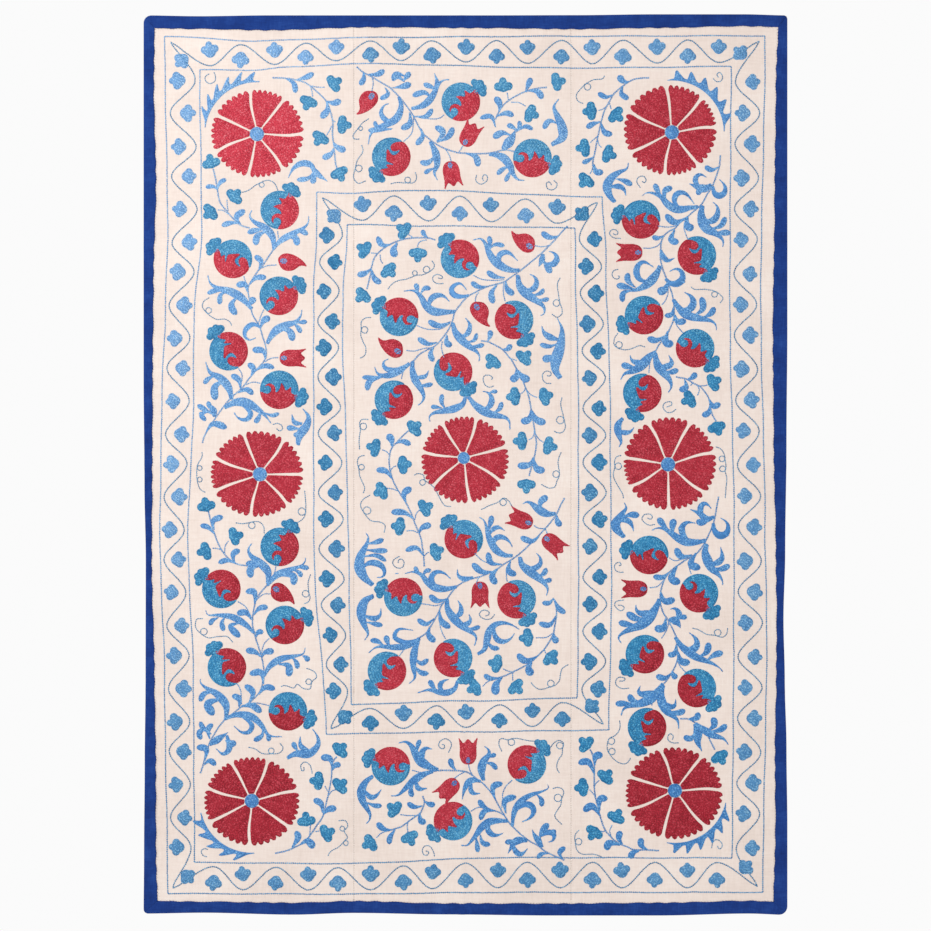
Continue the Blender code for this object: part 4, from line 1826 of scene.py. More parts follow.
# The top strip of the centre panel.
TOP_STRIP = Spray(
    stems=(
        ((-254, 928), (-240, 916), (-218, 904), (-195, 890), (-175, 878), (-155, 858), (-138, 837),
         (-122, 814), (-110, 790), (-100, 773), (-85, 760), (-72, 750), (-50, 738), (-20, 728),
         (0, 726), (30, 725), (60, 727), (92, 734), (118, 729)),
        ((70, 805), (77, 822), (88, 838), (102, 850), (120, 861), (140, 870), (165, 877), (190, 880)),
    ),
    twigs=(
        ((-218, 904), (-215, 892), (-218, 870)),
        ((-175, 878), (-160, 879)),
        ((-122, 813), (-105, 810), (-80, 806), (-60, 808), (-50, 816)),
        ((-121, 812), (-122, 790), (-127, 770), (-145, 753)),
        ((-48, 738), (-38, 722), (-33, 706)),
        ((-15, 729), (-5, 744)),
        ((100, 850), (97, 868)),
        ((106, 845), (125, 844), (140, 836)),
    ),
    clubs=(
        (15, (-238, 918), (-237, 900), (-247, 884)),
        (15, (-228, 910), (-205, 910), (-188, 921)),
        (13, (-142, 892), (-160, 906), (-171, 894)),
        (15, (-146, 894), (-136, 906), (-129, 916)),
        (17, (-166, 879), (-146, 882), (-126, 888)),
        (14, (-140, 905), (-160, 912), (-171, 897)),
        (13, (-188, 880), (-180, 864), (-200, 852)),
        (14, (-170, 783), (-205, 781), (-228, 779)),
        (11, (-195, 780), (-209, 791), (-211, 803)),
        (17, (-130, 822), (-130, 795), (-151, 783)),
        (15, (-104, 785), (-100, 765), (-116, 745)),
        (14, (-118, 812), (-92, 812), (-76, 831)),
        (14, (-67, 870), (-78, 880), (-99, 888)),
        (15, (-78, 852), (-95, 868), (-125, 860)),
        (17, (-68, 752), (-52, 775), (-71, 789)),
        (16, (-66, 752), (-40, 765), (-28, 788)),
        (15, (-68, 722), (-88, 704), (-107, 706)),
        (12, (-72, 692), (-86, 686), (-97, 678)),
        (17, (0, 726), (24, 718), (30, 694)),
        (18, (78, 822), (80, 840), (69, 858)),
        (15, (72, 812), (95, 820), (113, 813)),
        (13, (70, 786), (60, 812), (33, 808)),
        (16, (140, 868), (146, 885), (154, 903)),
        (17, (145, 872), (168, 870), (180, 852)),
        (18, (105, 768), (85, 774), (64, 762)),
        (14, (120, 780), (105, 790), (96, 790)),
        (12, (118, 775), (126, 790), (125, 803)),
        (12, (120, 778), (140, 789), (158, 781)),
        (15, (215, 795), (195, 802), (181, 782)),
        (13, (104, 698), (85, 688), (73, 676)),
        (12, (108, 690), (100, 675), (92, 659)),
    ),
    horns=(
        (20, (-155, 858), (-150, 835), (-160, 808), (-185, 793), (-210, 783), (-222, 768), (-227, 745)),
        (14, (-163, 802), (-185, 803), (-197, 820), (-190, 837), (-177, 843)),
        (19, (-126, 830), (-98, 838), (-78, 858), (-64, 885), (-52, 896), (-35, 898)),
        (13, (-72, 868), (-66, 890), (-73, 914)),
        (20, (-82, 754), (-70, 728), (-66, 700), (-73, 680), (-64, 662)),
        (26, (86, 735), (106, 758), (118, 784)),
        (22, (55, 725), (85, 718), (103, 698), (110, 680), (122, 665), (140, 663)),
        (25, (200, 746), (226, 763), (224, 790), (213, 815), (206, 835), (219, 855)),
    ),
    trefoils=(
        (88, 882, 90), (213, 893, 15), (151, 819, -22),
    ),
    tendrils=(
        (((-225, 807), (-240, 797), (-252, 782), (-262, 768), (-260, 760), (-247, 759)),
         ((0.42, 5, 1),)),
        (((-242, 746), (-239, 730), (-252, 710), (-257, 690), (-261, 670), (-250, 656), (-232, 662)),
         ((0.50, 8, 1),)),
        (((-175, 655), (-160, 658), (-140, 657), (-120, 658), (-114, 670), (-117, 682)),
         ((0.50, 7, 1),)),
        (((26, 676), (24, 662), (36, 654), (50, 662), (50, 674), (42, 676), (39, 667), (43, 662)), ()),
        (((205, 663), (214, 655), (207, 642), (192, 643), (188, 655), (195, 660), (200, 652)), ()),
        (((324, 907), (318, 899), (300, 898), (283, 890), (270, 878), (258, 862), (262, 848),
          (274, 842)), ((0.46, 8, 1),)),
    ),
)

# The upper half of the middle field.
CENTRE_UPPER = Spray(
    stems=(
        ((238, 557), (221, 539), (205, 521), (179, 495), (148, 469), (124, 450), (105, 437), (88, 426),
         (50, 415), (26, 404), (2, 390), (-14, 371), (-25, 355), (-31, 334), (-40, 315), (-52, 298),
         (-70, 278), (-91, 267), (-108, 257), (-120, 244), (-132, 234), (-155, 219), (-175, 207)),
        ((-70, 524), (-88, 529), (-122, 529), (-151, 524), (-175, 514), (-194, 502), (-207, 490),
         (-215, 476), (-219, 460), (-223, 437), (-230, 409)),
    ),
    twigs=(
        ((-221, 494), (-207, 493)), ((-199, 490), (-198, 478), (-193, 469)), ((-133, 537), (-124, 531)),
        ((-90, 524), (-100, 523), (-109, 517), (-112, 508)),
        ((-114, 325), (-88, 316), (-58, 317), (-36, 330)),
        ((-138, 267), (-121, 265), (-98, 271), (-80, 273)),
        ((-54, 288), (-56, 272), (-50, 250)), ((-138, 232), (-146, 216), (-149, 200)),
        ((160, 511), (178, 508), (197, 512)), ((18, 442), (40, 432), (72, 430), (90, 432)),
        ((31, 402), (24, 392), (23, 380)), ((89, 424), (88, 404), (92, 381)),
    ),
    clubs=(
        (15, (-172, 514), (-194, 512), (-206, 533)), (20, (-158, 518), (-168, 500), (-162, 484)),
        (13, (-88, 529), (-98, 539), (-99, 549)), (16, (-219, 458), (-233, 447), (-253, 442)),
        (16, (-219, 456), (-212, 434), (-196, 423)), (14, (-112, 398), (-113, 412), (-117, 424)),
        (13, (-105, 398), (-95, 412), (-80, 410)), (16, (-34, 333), (-62, 324), (-88, 336)),
        (11, (2, 286), (20, 290), (27, 308)), (12, (8, 277), (26, 276), (45, 281)),
        (15, (-66, 285), (-88, 282), (-112, 296)), (17, (-43, 304), (-44, 285), (-31, 277)),
        (15, (-73, 276), (-82, 258), (-74, 240)), (12, (-112, 186), (-94, 185), (-75, 189)),
        (16, (-190, 206), (-222, 196), (-230, 172)), (12, (-200, 206), (-222, 204), (-242, 204)),
        (14, (54, 500), (57, 516), (55, 534)), (12, (56, 503), (70, 514), (92, 510)),
        (16, (218, 533), (196, 530), (176, 543)), (17, (180, 478), (190, 462), (200, 446)),
        (15, (92, 436), (68, 439), (49, 452)), (14, (50, 416), (30, 415), (12, 427)),
        (17, (74, 420), (60, 400), (65, 375)), (17, (93, 430), (97, 410), (114, 396)),
        (12, (155, 395), (175, 400), (183, 412)), (12, (168, 386), (182, 384), (196, 388)),
        (13, (214, 282), (195, 276), (172, 281)), (20, (212, 262), (200, 250), (178, 246)),
    ),
    horns=(
        (22, (-24, 357), (-50, 356), (-75, 358), (-93, 372), (-104, 392), (-120, 406), (-146, 405)),
        (16, (-86, 366), (-82, 384), (-68, 395), (-50, 393), (-36, 379)),
        (15, (8, 395), (-12, 392), (-28, 397), (-33, 410), (-22, 421), (-10, 422), (4, 406)),
        (22, (-30, 332), (-24, 310), (-8, 290), (10, 275), (25, 265), (33, 252), (30, 239)),
        (14, (-12, 300), (2, 303), (10, 318), (8, 332), (-2, 344)),
        (20, (-122, 242), (-124, 222), (-117, 198), (-104, 177), (-97, 160), (-101, 147), (-113, 137)),
        (12, (-116, 204), (-94, 206), (-85, 222)),
        (20, (-130, 236), (-156, 219), (-182, 208), (-204, 212), (-213, 231)),
        (15, (-145, 228), (-168, 220), (-188, 226), (-191, 240), (-178, 248)),
        (22, (126, 453), (104, 454), (82, 464), (66, 477), (55, 494), (48, 512), (36, 527), (15, 523)),
        (15, (84, 462), (77, 481), (84, 493), (102, 494), (123, 474)),
        (16, (181, 492), (178, 478), (170, 460)),
        (17, (185, 468), (205, 468), (213, 482), (206, 494), (193, 498)),
        (24, (122, 443), (126, 417), (143, 398), (166, 382), (182, 369), (184, 354), (174, 347)),
        (16, (138, 406), (158, 410), (166, 426), (160, 439), (148, 445)),
        (30, (221, 202), (209, 222), (211, 245), (219, 270), (224, 295), (224, 320), (213, 343)),
        (18, (215, 292), (196, 298), (183, 308), (177, 325)),
    ),
    trefoils=((-143, 546, 150), (-235, 501, 150), (-180, 454, -50), (-111, 493, -93), (-239, 395, 228)),
    tendrils=(
        (((-79, 476), (-73, 468), (-75, 458), (-86, 449), (-100, 443), (-118, 441), (-134, 434),
          (-158, 429), (-172, 421), (-181, 409)), ((0.26, 8, -1), (0.48, 6, -1))),
        (((-51, 423), (-64, 422), (-75, 428), (-76, 438), (-67, 444), (-55, 440), (-54, 434),
          (-64, 436)), ()),
        (((-220, 343), (-232, 343), (-243, 334), (-243, 318), (-244, 304), (-240, 289), (-232, 272),
          (-235, 255), (-246, 249)), ((0.38, 8, 1),)),
        (((221, 436), (214, 423), (216, 402), (220, 378), (225, 363), (224, 351), (213, 344),
          (201, 352)), ((0.52, 8, -1),)),
    ),
)

# Either side of the middle rosette.
CENTRE_MIDDLE = Spray(
    stems=(
        ((-133, 80), (-148, 66), (-160, 53), (-170, 42), (-176, 28), (-178, 5), (-175, -15), (-168, -38),
         (-155, -63), (-139, -88), (-127, -112), (-118, -136), (-108, -160), (-103, -175), (-101, -190),
         (-98, -207), (-96, -237)),
        ((36, 289), (52, 287), (71, 278), (86, 269), (100, 253), (110, 240), (119, 224), (128, 209),
         (136, 190), (147, 160), (153, 130), (158, 100), (163, 68), (165, 48), (160, 16), (153, -8),
         (148, -26)),
        ((231, -77), (221, -95), (212, -115), (198, -134), (186, -148), (172, -163), (148, -187),
         (125, -208), (105, -222), (88, -232), (75, -242), (58, -251), (35, -260), (12, -266),
         (0, -270), (-20, -283), (-33, -298), (-43, -312), (-55, -325), (-62, -342), (-72, -360),
         (-80, -375), (-92, -392), (-108, -403)),
    ),
    twigs=(
        ((-195, 35), (-185, 32), (-178, 24)), ((-161, -2), (-170, -6), (-175, -14)),
        ((-184, -54), (-170, -56), (-158, -61)), ((-107, -105), (-115, -114), (-118, -128)),
        ((-138, -154), (-124, -153), (-111, -158)), ((106, 248), (120, 243)),
        ((126, 164), (136, 171), (140, 180)), ((142, 175), (153, 163), (167, 157)),
        ((147, 58), (157, 65), (161, 80)), ((163, 72), (171, 60), (182, 52)),
        ((159, -141), (171, -148), (186, -148)),
    ),
    clubs=(
        (13, (-46, 130), (-56, 146), (-54, 166)), (12, (-55, 132), (-68, 135), (-82, 135)),
        (13, (62, 120), (79, 130), (85, 148)), (11, (55, 168), (65, 171), (75, 170)),
        (20, (-172, 42), (-172, 58), (-183, 71)), (15, (-163, 50), (-146, 55), (-127, 47)),
        (16, (-171, -33), (-186, -14), (-209, -12)), (18, (-139, -88), (-143, -66), (-125, -53)),
        (17, (-121, -126), (-143, -111), (-174, -110)), (17, (-109, -160), (-101, -146), (-79, -139)),
        (15, (51, 288), (57, 300), (58, 315)), (15, (86, 270), (97, 269), (107, 281)),
        (20, (119, 224), (118, 206), (104, 196)), (20, (121, 222), (132, 206), (150, 196)),
        (19, (153, 128), (148, 106), (128, 101)), (19, (154, 128), (166, 105), (188, 98)),
        (18, (159, 18), (148, 0), (120, -2)), (19, (158, 16), (166, -9), (186, -13)),
        (18, (178, -106), (174, -88), (192, -72)), (17, (213, -116), (214, -132), (224, -142)),
    ),
    horns=(
        (20, (0, 160), (-6, 142), (-26, 131), (-50, 126), (-74, 121), (-85, 111), (-82, 99)),
        (22, (6, 160), (20, 142), (36, 129), (56, 119), (78, 114), (96, 109), (103, 98), (103, 80)),
        (16, (42, 128), (57, 138), (61, 156), (53, 168), (39, 172)),
        (22, (210, -114), (190, -114), (170, -104), (155, -91), (143, -86), (131, -92)),
    ),
    trefoils=(
        (-120, 85, 35), (-211, 40, 172), (-146, 0, 0), (-195, -60, 200), (-95, -100, 32),
        (136, 250, 50), (64, 241, 230), (115, 160, 182), (184, 159, 10), (131, 56, 180),
        (194, 45, -8), (142, -46, -92),
    ),
    tendrils=(
        (((66, 184), (55, 181), (45, 187), (41, 199), (45, 208), (56, 209), (64, 203), (60, 199)), ()),
        (((200, 190), (189, 190), (180, 199), (180, 212), (190, 219), (200, 214), (196, 206),
          (190, 209)), ()),
        (((-226, 106), (-242, 106), (-247, 96), (-245, 80), (-248, 60), (-247, 36)), ((0.42, 8, 1),)),
        (((-235, 22), (-247, 19), (-252, 8), (-249, -8), (-247, -24), (-240, -41), (-235, -53),
          (-238, -66)), ((0.40, 7, 1),)),
        (((-222, -70), (-238, -80), (-245, -92), (-240, -106), (-232, -118), (-220, -130),
          (-197, -134), (-187, -142), (-190, -158)), ((0.42, 9, 1),)),
        (((-120, -24), (-110, -20), (-98, -24), (-95, -36), (-80, -46), (-69, -60), (-57, -83),
          (-48, -95), (-34, -97)), ((0.30, 7, -1),)),
        (((225, 158), (222, 140), (226, 122), (231, 100), (233, 88), (227, 77), (216, 74), (206, 79)),
         ((0.50, 9, -1),)),
        (((223, 30), (216, 12), (217, -8), (219, -24), (213, -38), (208, -51), (194, -54), (176, -45)),
         ((0.45, 8, -1),)),
        (((110, -99), (100, -83), (88, -77), (76, -87), (57, -94), (36, -104)), ((0.45, 8, 1),)),
    ),
)

# The lower half of the middle field.
CENTRE_LOWER = Spray(
    stems=(
        ((206, -312), (211, -330), (212, -350), (208, -375), (204, -395), (195, -412), (183, -430),
         (168, -445), (152, -460), (135, -470), (110, -483), (90, -492), (70, -498)),
    ),
    twigs=(
        ((-96, -213), (-92, -207), (-85, -203)), ((-50, -322), (-70, -328), (-90, -325), (-104, -323)),
        ((-61, -352), (-59, -375), (-54, -392), (-46, -406)), ((-118, -408), (-140, -427), (-155, -446)),
        ((21, -206), (38, -222), (60, -231), (86, -232)), ((101, -232), (95, -250), (97, -272)),
        ((32, -261), (27, -270), (26, -280)), ((202, -393), (188, -402), (164, -403)),
        ((183, -430), (187, -439)), ((108, -482), (98, -480), (87, -475)), ((110, -483), (110, -503)),
        ((60, -501), (50, -506), (40, -516)), ((-164, -253), (-156, -253)),
        ((186, -149), (191, -161)),
    ),
    clubs=(
        (14, (-229, -184), (-208, -180), (-190, -173)), (14, (-234, -198), (-210, -200), (-180, -200)),
        (12, (-240, -214), (-208, -211), (-184, -225)), (15, (53, -154), (58, -136), (62, -117)),
        (14, (-98, -212), (-114, -193), (-141, -200)), (12, (-104, -258), (-113, -248), (-118, -236)),
        (12, (-98, -260), (-94, -248), (-79, -245)), (16, (-43, -313), (-66, -317), (-85, -303)),
        (17, (-61, -338), (-56, -364), (-35, -380)), (14, (-73, -358), (-92, -371), (-113, -359)),
        (17, (-83, -376), (-86, -396), (-70, -413)), (13, (-122, -448), (-103, -463), (-86, -452)),
        (14, (-122, -466), (-104, -484), (-85, -486)), (14, (-188, -424), (-205, -411), (-223, -409)),
        (16, (-176, -424), (-183, -410), (-184, -396)), (13, (-232, -366), (-210, -371), (-192, -374)),
        (15, (-68, -526), (-78, -513), (-85, -501)),
        (16, (84, -232), (59, -228), (52, -203)), (17, (68, -249), (38, -249), (15, -229)),
        (17, (105, -223), (100, -246), (119, -257)), (18, (76, -241), (62, -259), (72, -279)),
        (16, (173, -164), (155, -178), (127, -168)), (14, (166, -262), (183, -253), (188, -239)),
        (13, (176, -269), (190, -270), (202, -266)), (15, (206, -312), (217, -334), (234, -346)),
        (13, (206, -310), (195, -322), (178, -321)), (15, (211, -352), (196, -373), (170, -369)),
        (18, (205, -391), (207, -405), (217, -413)), (18, (168, -446), (140, -457), (120, -440)),
        (21, (155, -458), (147, -475), (156, -491)), (14, (80, -496), (58, -498), (42, -488)),
        (22, (86, -494), (71, -512), (70, -537)), (12, (2, -381), (18, -382), (35, -376)),
        (13, (50, -408), (61, -425), (80, -428)),
    ),
    horns=(
        (28, (-216, -280), (-236, -262), (-247, -238), (-244, -212), (-232, -188), (-226, -170),
         (-233, -157)),
        (17, (-240, -238), (-222, -228), (-200, -232), (-189, -246), (-192, -260), (-209, -263)),
        (20, (110, -212), (90, -210), (72, -199), (59, -180), (52, -160), (48, -142), (42, -128),
         (30, -121)),
        (15, (66, -194), (66, -177), (76, -168), (91, -170), (103, -180), (110, -194)),
        (13, (56, -160), (66, -148), (80, -146), (92, -154)),
        (20, (-20, -284), (-45, -289), (-70, -286), (-90, -272), (-103, -256), (-122, -249), (-143, -254)),
        (15, (-55, -288), (-74, -279), (-80, -263), (-69, -250), (-50, -252), (-33, -267)),
        (14, (18, -262), (-2, -266), (-17, -258), (-19, -241)),
        (22, (-43, -311), (-42, -335), (-28, -357), (-10, -374), (8, -386), (25, -401), (20, -424)),
        (15, (-27, -356), (-12, -346), (-11, -329), (-19, -314)),
        (14, (-14, -374), (5, -370), (12, -359), (7, -347)),
        (20, (-108, -403), (-118, -430), (-122, -455), (-121, -475), (-118, -496), (-133, -511)),
        (17, (-108, -404), (-130, -420), (-165, -425), (-205, -424), (-227, -439)),
        (13, (-115, -408), (-140, -413), (-161, -406), (-165, -394), (-152, -382), (-120, -386)),
        (26, (-214, -305), (-235, -318), (-243, -345), (-237, -370), (-227, -394), (-236, -409)),
        (14, (-235, -352), (-213, -358), (-199, -350), (-197, -332)),
        (17, (-19, -503), (-24, -520), (-40, -530), (-60, -530), (-85, -524), (-114, -532)),
        (13, (-50, -530), (-60, -517), (-52, -504), (-36, -499)),
        (24, (127, -214), (131, -232), (148, -247), (168, -262), (184, -276), (192, -290), (188, -306)),
        (15, (140, -238), (160, -241), (174, -231), (174, -216), (163, -204)),
        (19, (28, -441), (44, -430), (50, -408), (55, -388), (68, -373), (86, -368), (106, -372),
         (127, -384)),
        (15, (66, -378), (68, -397), (78, -410), (94, -411), (107, -403), (115, -391)),
    ),
    trefoils=(
        (-70, -203, 15), (145, -402, 180), (198, -449, -45), (73, -463, 165), (117, -517, -42),
        (22, -518, 205), (-153, -143, 170),
    ),
    tendrils=(
        (((-153, -213), (-165, -219), (-170, -229), (-162, -239), (-149, -240), (-143, -230),
          (-147, -220), (-156, -221), (-157, -229)), ()),
        (((68, -348), (60, -358), (48, -360), (36, -355), (32, -346), (42, -338), (54, -342),
          (55, -349), (46, -352)), ()),
        (((240, -465), (226, -474), (221, -488), (219, -502), (208, -514), (192, -519), (178, -523),
          (165, -520), (152, -507)), ((0.56, 8, -1),)),
    ),
)

# The strip below the middle field.
BOTTOM_STRIP = Spray(
    stems=(
        ((231, -921), (205, -910), (185, -900), (170, -888), (150, -877), (130, -862), (115, -848),
         (105, -838), (95, -824), (85, -808), (75, -790), (65, -771), (50, -752), (38, -740), (28, -733),
         (18, -725), (6, -717), (-10, -713), (-35, -712), (-60, -712), (-75, -714), (-92, -719)),
        ((-100, -771), (-96, -785), (-100, -800), (-106, -812), (-118, -820), (-132, -830),
         (-150, -843), (-165, -848), (-178, -852)),
        ((92, -818), (80, -810), (64, -805), (52, -800)),
    ),
    twigs=(
        ((-90, -717), (-107, -716), (-125, -711)), ((16, -723), (10, -711), (7, -697)),
        ((-2, -716), (-15, -722), (-26, -731)), ((-112, -817), (-132, -817), (-152, -815)),
        ((-133, -830), (-136, -843), (-134, -856)), ((-178, -852), (-196, -858), (-208, -869)),
        ((84, -800), (86, -780), (87, -765), (94, -749), (109, -734)), ((50, -799), (30, -798), (12, -807)),
    ),
    clubs=(
        (13, (-113, -670), (-111, -653), (-105, -640)), (15, (-122, -745), (-128, -760), (-123, -774)),
        (15, (-22, -712), (-32, -700), (-36, -683)), (13, (-231, -786), (-212, -794), (-194, -794)),
        (15, (-96, -783), (-84, -791), (-70, -791)), (14, (-100, -795), (-120, -797), (-136, -787)),
        (17, (-107, -810), (-105, -828), (-91, -834)), (16, (-172, -851), (-192, -848), (-207, -833)),
        (15, (-163, -848), (-176, -868), (-178, -885)),
        (16, (69, -781), (64, -750), (87, -742)), (17, (94, -813), (92, -783), (119, -772)),
        (14, (165, -767), (177, -780), (177, -797)), (15, (60, -804), (42, -796), (30, -780)),
        (15, (70, -806), (44, -807), (34, -828)), (12, (50, -681), (61, -678), (72, -674)),
        (13, (44, -694), (62, -697), (74, -711)), (13, (24, -866), (27, -885), (29, -904)),
        (14, (34, -860), (40, -881), (59, -885)), (14, (122, -878), (106, -878), (91, -880)),
        (17, (172, -874), (178, -854), (194, -835)), (14, (192, -858), (202, -855), (212, -856)),
        (14, (226, -919), (219, -903), (233, -890)), (12, (193, -906), (177, -906), (167, -918)),
    ),
    horns=(
        (25, (-64, -711), (-85, -703), (-105, -690), (-117, -672), (-126, -655), (-140, -645),
         (-158, -649)),
        (16, (-100, -692), (-101, -670), (-92, -660), (-75, -663)),
        (20, (-75, -714), (-95, -720), (-112, -729), (-128, -742), (-144, -758), (-158, -770),
         (-176, -771)),
        (14, (-116, -738), (-109, -755), (-88, -753)),
        (22, (-215, -725), (-232, -738), (-243, -760), (-240, -782), (-230, -800), (-222, -816),
         (-225, -830), (-234, -837)),
        (14, (-236, -758), (-222, -774), (-208, -771), (-195, -755)),
        (17, (109, -842), (112, -815), (120, -795), (135, -779), (155, -768), (178, -761), (193, -753),
         (189, -741)),
        (17, (119, -803), (138, -791), (154, -795), (159, -808), (150, -823), (129, -833)),
        (17, (35, -738), (20, -734), (8, -738), (0, -750), (-5, -765), (-8, -781)),
        (13, (14, -742), (12, -758), (21, -766), (37, -765)),
        (22, (42, -736), (37, -712), (42, -691), (54, -676), (54, -664), (42, -654)),
        (20, (99, -830), (75, -829), (55, -832), (37, -845), (25, -862), (14, -876), (3, -887),
         (-13, -885)),
        (16, (56, -834), (52, -849), (61, -861), (75, -863), (89, -857)),
        (20, (144, -876), (128, -874), (113, -880), (106, -893), (98, -907)),
        (15, (110, -885), (118, -902), (131, -907), (146, -893)),
        (17, (179, -891), (170, -876), (160, -862), (155, -848)),
        (15, (176, -864), (194, -856), (207, -862), (203, -876), (191, -879)),
    ),
    trefoils=((-165, -803, 140), (-130, -868, -60), (-222, -881, 215)),
    tendrils=(
        (((-40, -671), (-33, -655), (-35, -645), (-45, -638), (-57, -642), (-63, -652), (-57, -661),
          (-49, -660), (-50, -652), (-55, -652)), ()),
        (((-72, -912), (-76, -898), (-84, -888), (-95, -888), (-101, -898), (-96, -909), (-87, -908),
          (-86, -901), (-93, -900)), ()),
        (((173, -644), (150, -643), (130, -639), (110, -637), (98, -641), (85, -637), (78, -643),
          (79, -655), (85, -668)), ((0.56, 8, 1),)),
        (((198, -658), (208, -646), (220, -642), (229, -650), (226, -661), (225, -675), (215, -690),
          (213, -707), (219, -718)), ((0.44, 8, -1),)),
        (((203, -755), (215, -751), (226, -756), (229, -765), (224, -778), (222, -792), (213, -806),
          (208, -820), (225, -838)), ((0.42, 9, -1),)),
    ),
)

# The right panel beside and below the upper rosette.
RIGHT_UPPER = Spray(
    stems=(
        ((428, 902), (399, 900), (381, 893), (368, 884), (346, 865), (335, 846), (324, 826), (317, 803),
         (312, 781), (307, 758), (303, 736), (298, 714), (296, 696)),
        ((594, 722), (591, 694), (584, 672), (575, 649), (563, 630), (550, 607), (534, 593), (517, 578),
         (502, 568), (493, 556), (486, 550), (472, 543), (462, 533), (456, 519), (455, 501), (454, 483),
         (458, 462), (465, 442), (472, 424), (479, 406), (484, 386), (486, 367), (486, 349), (483, 333),
         (476, 317), (470, 305), (458, 290), (449, 277), (442, 263)),
    ),
    twigs=(
        ((328, 835), (320, 829), (309, 826)), ((336, 844), (337, 836), (340, 829)),
        ((309, 767), (300, 759), (290, 751)), ((308, 757), (311, 747), (317, 739)),
        ((297, 696), (295, 688), (290, 678)),
        ((492, 557), (470, 554), (448, 557)), ((513, 572), (509, 555), (513, 538), (519, 525)),
        ((457, 521), (447, 510), (431, 505), (414, 505)), ((472, 418), (471, 397), (465, 382), (457, 373)),
        ((486, 338), (495, 321), (508, 307)),
    ),
    clubs=(
        (18, (381, 892), (367, 894), (356, 908)), (15, (367, 884), (363, 865), (381, 852)),
        (14, (343, 862), (327, 857), (308, 867)), (15, (315, 799), (298, 795), (281, 785)),
        (16, (316, 797), (324, 775), (343, 770)), (13, (299, 718), (285, 709), (271, 703)),
        (17, (299, 702), (304, 683), (322, 683)), (15, (350, 667), (370, 662), (389, 652)),
        (14, (590, 694), (573, 687), (557, 697)), (15, (560, 645), (547, 640), (539, 629)),
        (15, (457, 624), (447, 640), (440, 656)), (16, (466, 615), (464, 638), (483, 647)),
        (15, (572, 550), (595, 557), (607, 579)), (18, (517, 577), (488, 565), (465, 584)),
        (20, (518, 579), (516, 557), (533, 551)), (13, (462, 534), (447, 528), (434, 533)),
        (18, (488, 549), (479, 525), (498, 518)), (17, (395, 409), (373, 415), (351, 419)),
        (15, (388, 407), (367, 400), (366, 379)), (16, (396, 413), (378, 430), (379, 448)),
        (22, (471, 425), (463, 408), (446, 403)), (18, (532, 347), (553, 364), (550, 392)),
        (16, (552, 343), (571, 352), (581, 368)), (13, (485, 368), (480, 350), (463, 348)),
        (17, (487, 352), (494, 334), (515, 336)), (17, (463, 300), (444, 290), (423, 296)),
        (21, (472, 312), (466, 287), (485, 280)), (16, (578, 540), (598, 541), (618, 541)),
    ),
    horns=(
        (24, (348, 612), (335, 629), (330, 650), (340, 669), (358, 682), (376, 690), (380, 706)),
        (15, (338, 648), (358, 649), (370, 641), (374, 625)),
        (22, (573, 653), (561, 645), (548, 645), (535, 650), (519, 656)),
        (14, (547, 645), (536, 659), (538, 672), (549, 677), (563, 669)),
        (17, (576, 650), (580, 633), (592, 627), (604, 635), (604, 651), (590, 667)),
        (21, (542, 601), (522, 599), (502, 595), (483, 599), (468, 610), (457, 624), (438, 633),
         (422, 634), (410, 626)),
        (15, (499, 597), (487, 613), (490, 629), (503, 635), (517, 629), (534, 607)),
        (27, (552, 605), (549, 585), (553, 565), (564, 549), (580, 541), (594, 531), (601, 519),
         (598, 506)),
        (18, (554, 573), (567, 567), (581, 573), (588, 588), (586, 603), (576, 613)),
        (15, (455, 501), (460, 486), (472, 476), (489, 483)),
        (24, (454, 464), (447, 449), (436, 433), (422, 420), (406, 411), (390, 406), (372, 404)),
        (17, (424, 426), (405, 433), (398, 451), (404, 467), (418, 473), (440, 459)),
        (19, (466, 434), (478, 423), (494, 423), (505, 433), (505, 447), (496, 456), (485, 456),
         (474, 449)),
        (22, (484, 386), (494, 370), (508, 354), (528, 345), (553, 340), (574, 335), (584, 324),
         (584, 311)),
        (20, (502, 362), (520, 362), (531, 376), (526, 392), (508, 404)),
    ),
    trefoils=(
        (293, 825, 180), (350, 816, -40), (277, 739, 190), (332, 725, -15), (281, 663, 232),
    ),
    tendrils=(
        (((408, 646), (399, 659), (403, 670), (414, 673), (421, 665), (417, 657), (411, 661)), ()),
        (((577, 901), (584, 893), (596, 895), (599, 906), (592, 915), (585, 909), (590, 903)), ()),
        (((362, 528), (347, 529), (337, 535), (336, 543), (344, 549), (354, 545), (355, 538),
          (348, 536), (344, 540)), ()),
        (((356, 456), (346, 453), (341, 444), (346, 435), (354, 433), (360, 438), (355, 441)), ()),
        (((525, 415), (533, 409), (556, 409), (578, 406), (592, 398), (600, 388), (593, 377)),
         ((0.64, 7, -1),)),
        (((355, 307), (347, 295), (347, 279), (358, 271), (374, 268), (390, 272), (404, 278),
          (419, 275)), ((0.38, 8, 1),)),
    ),
)

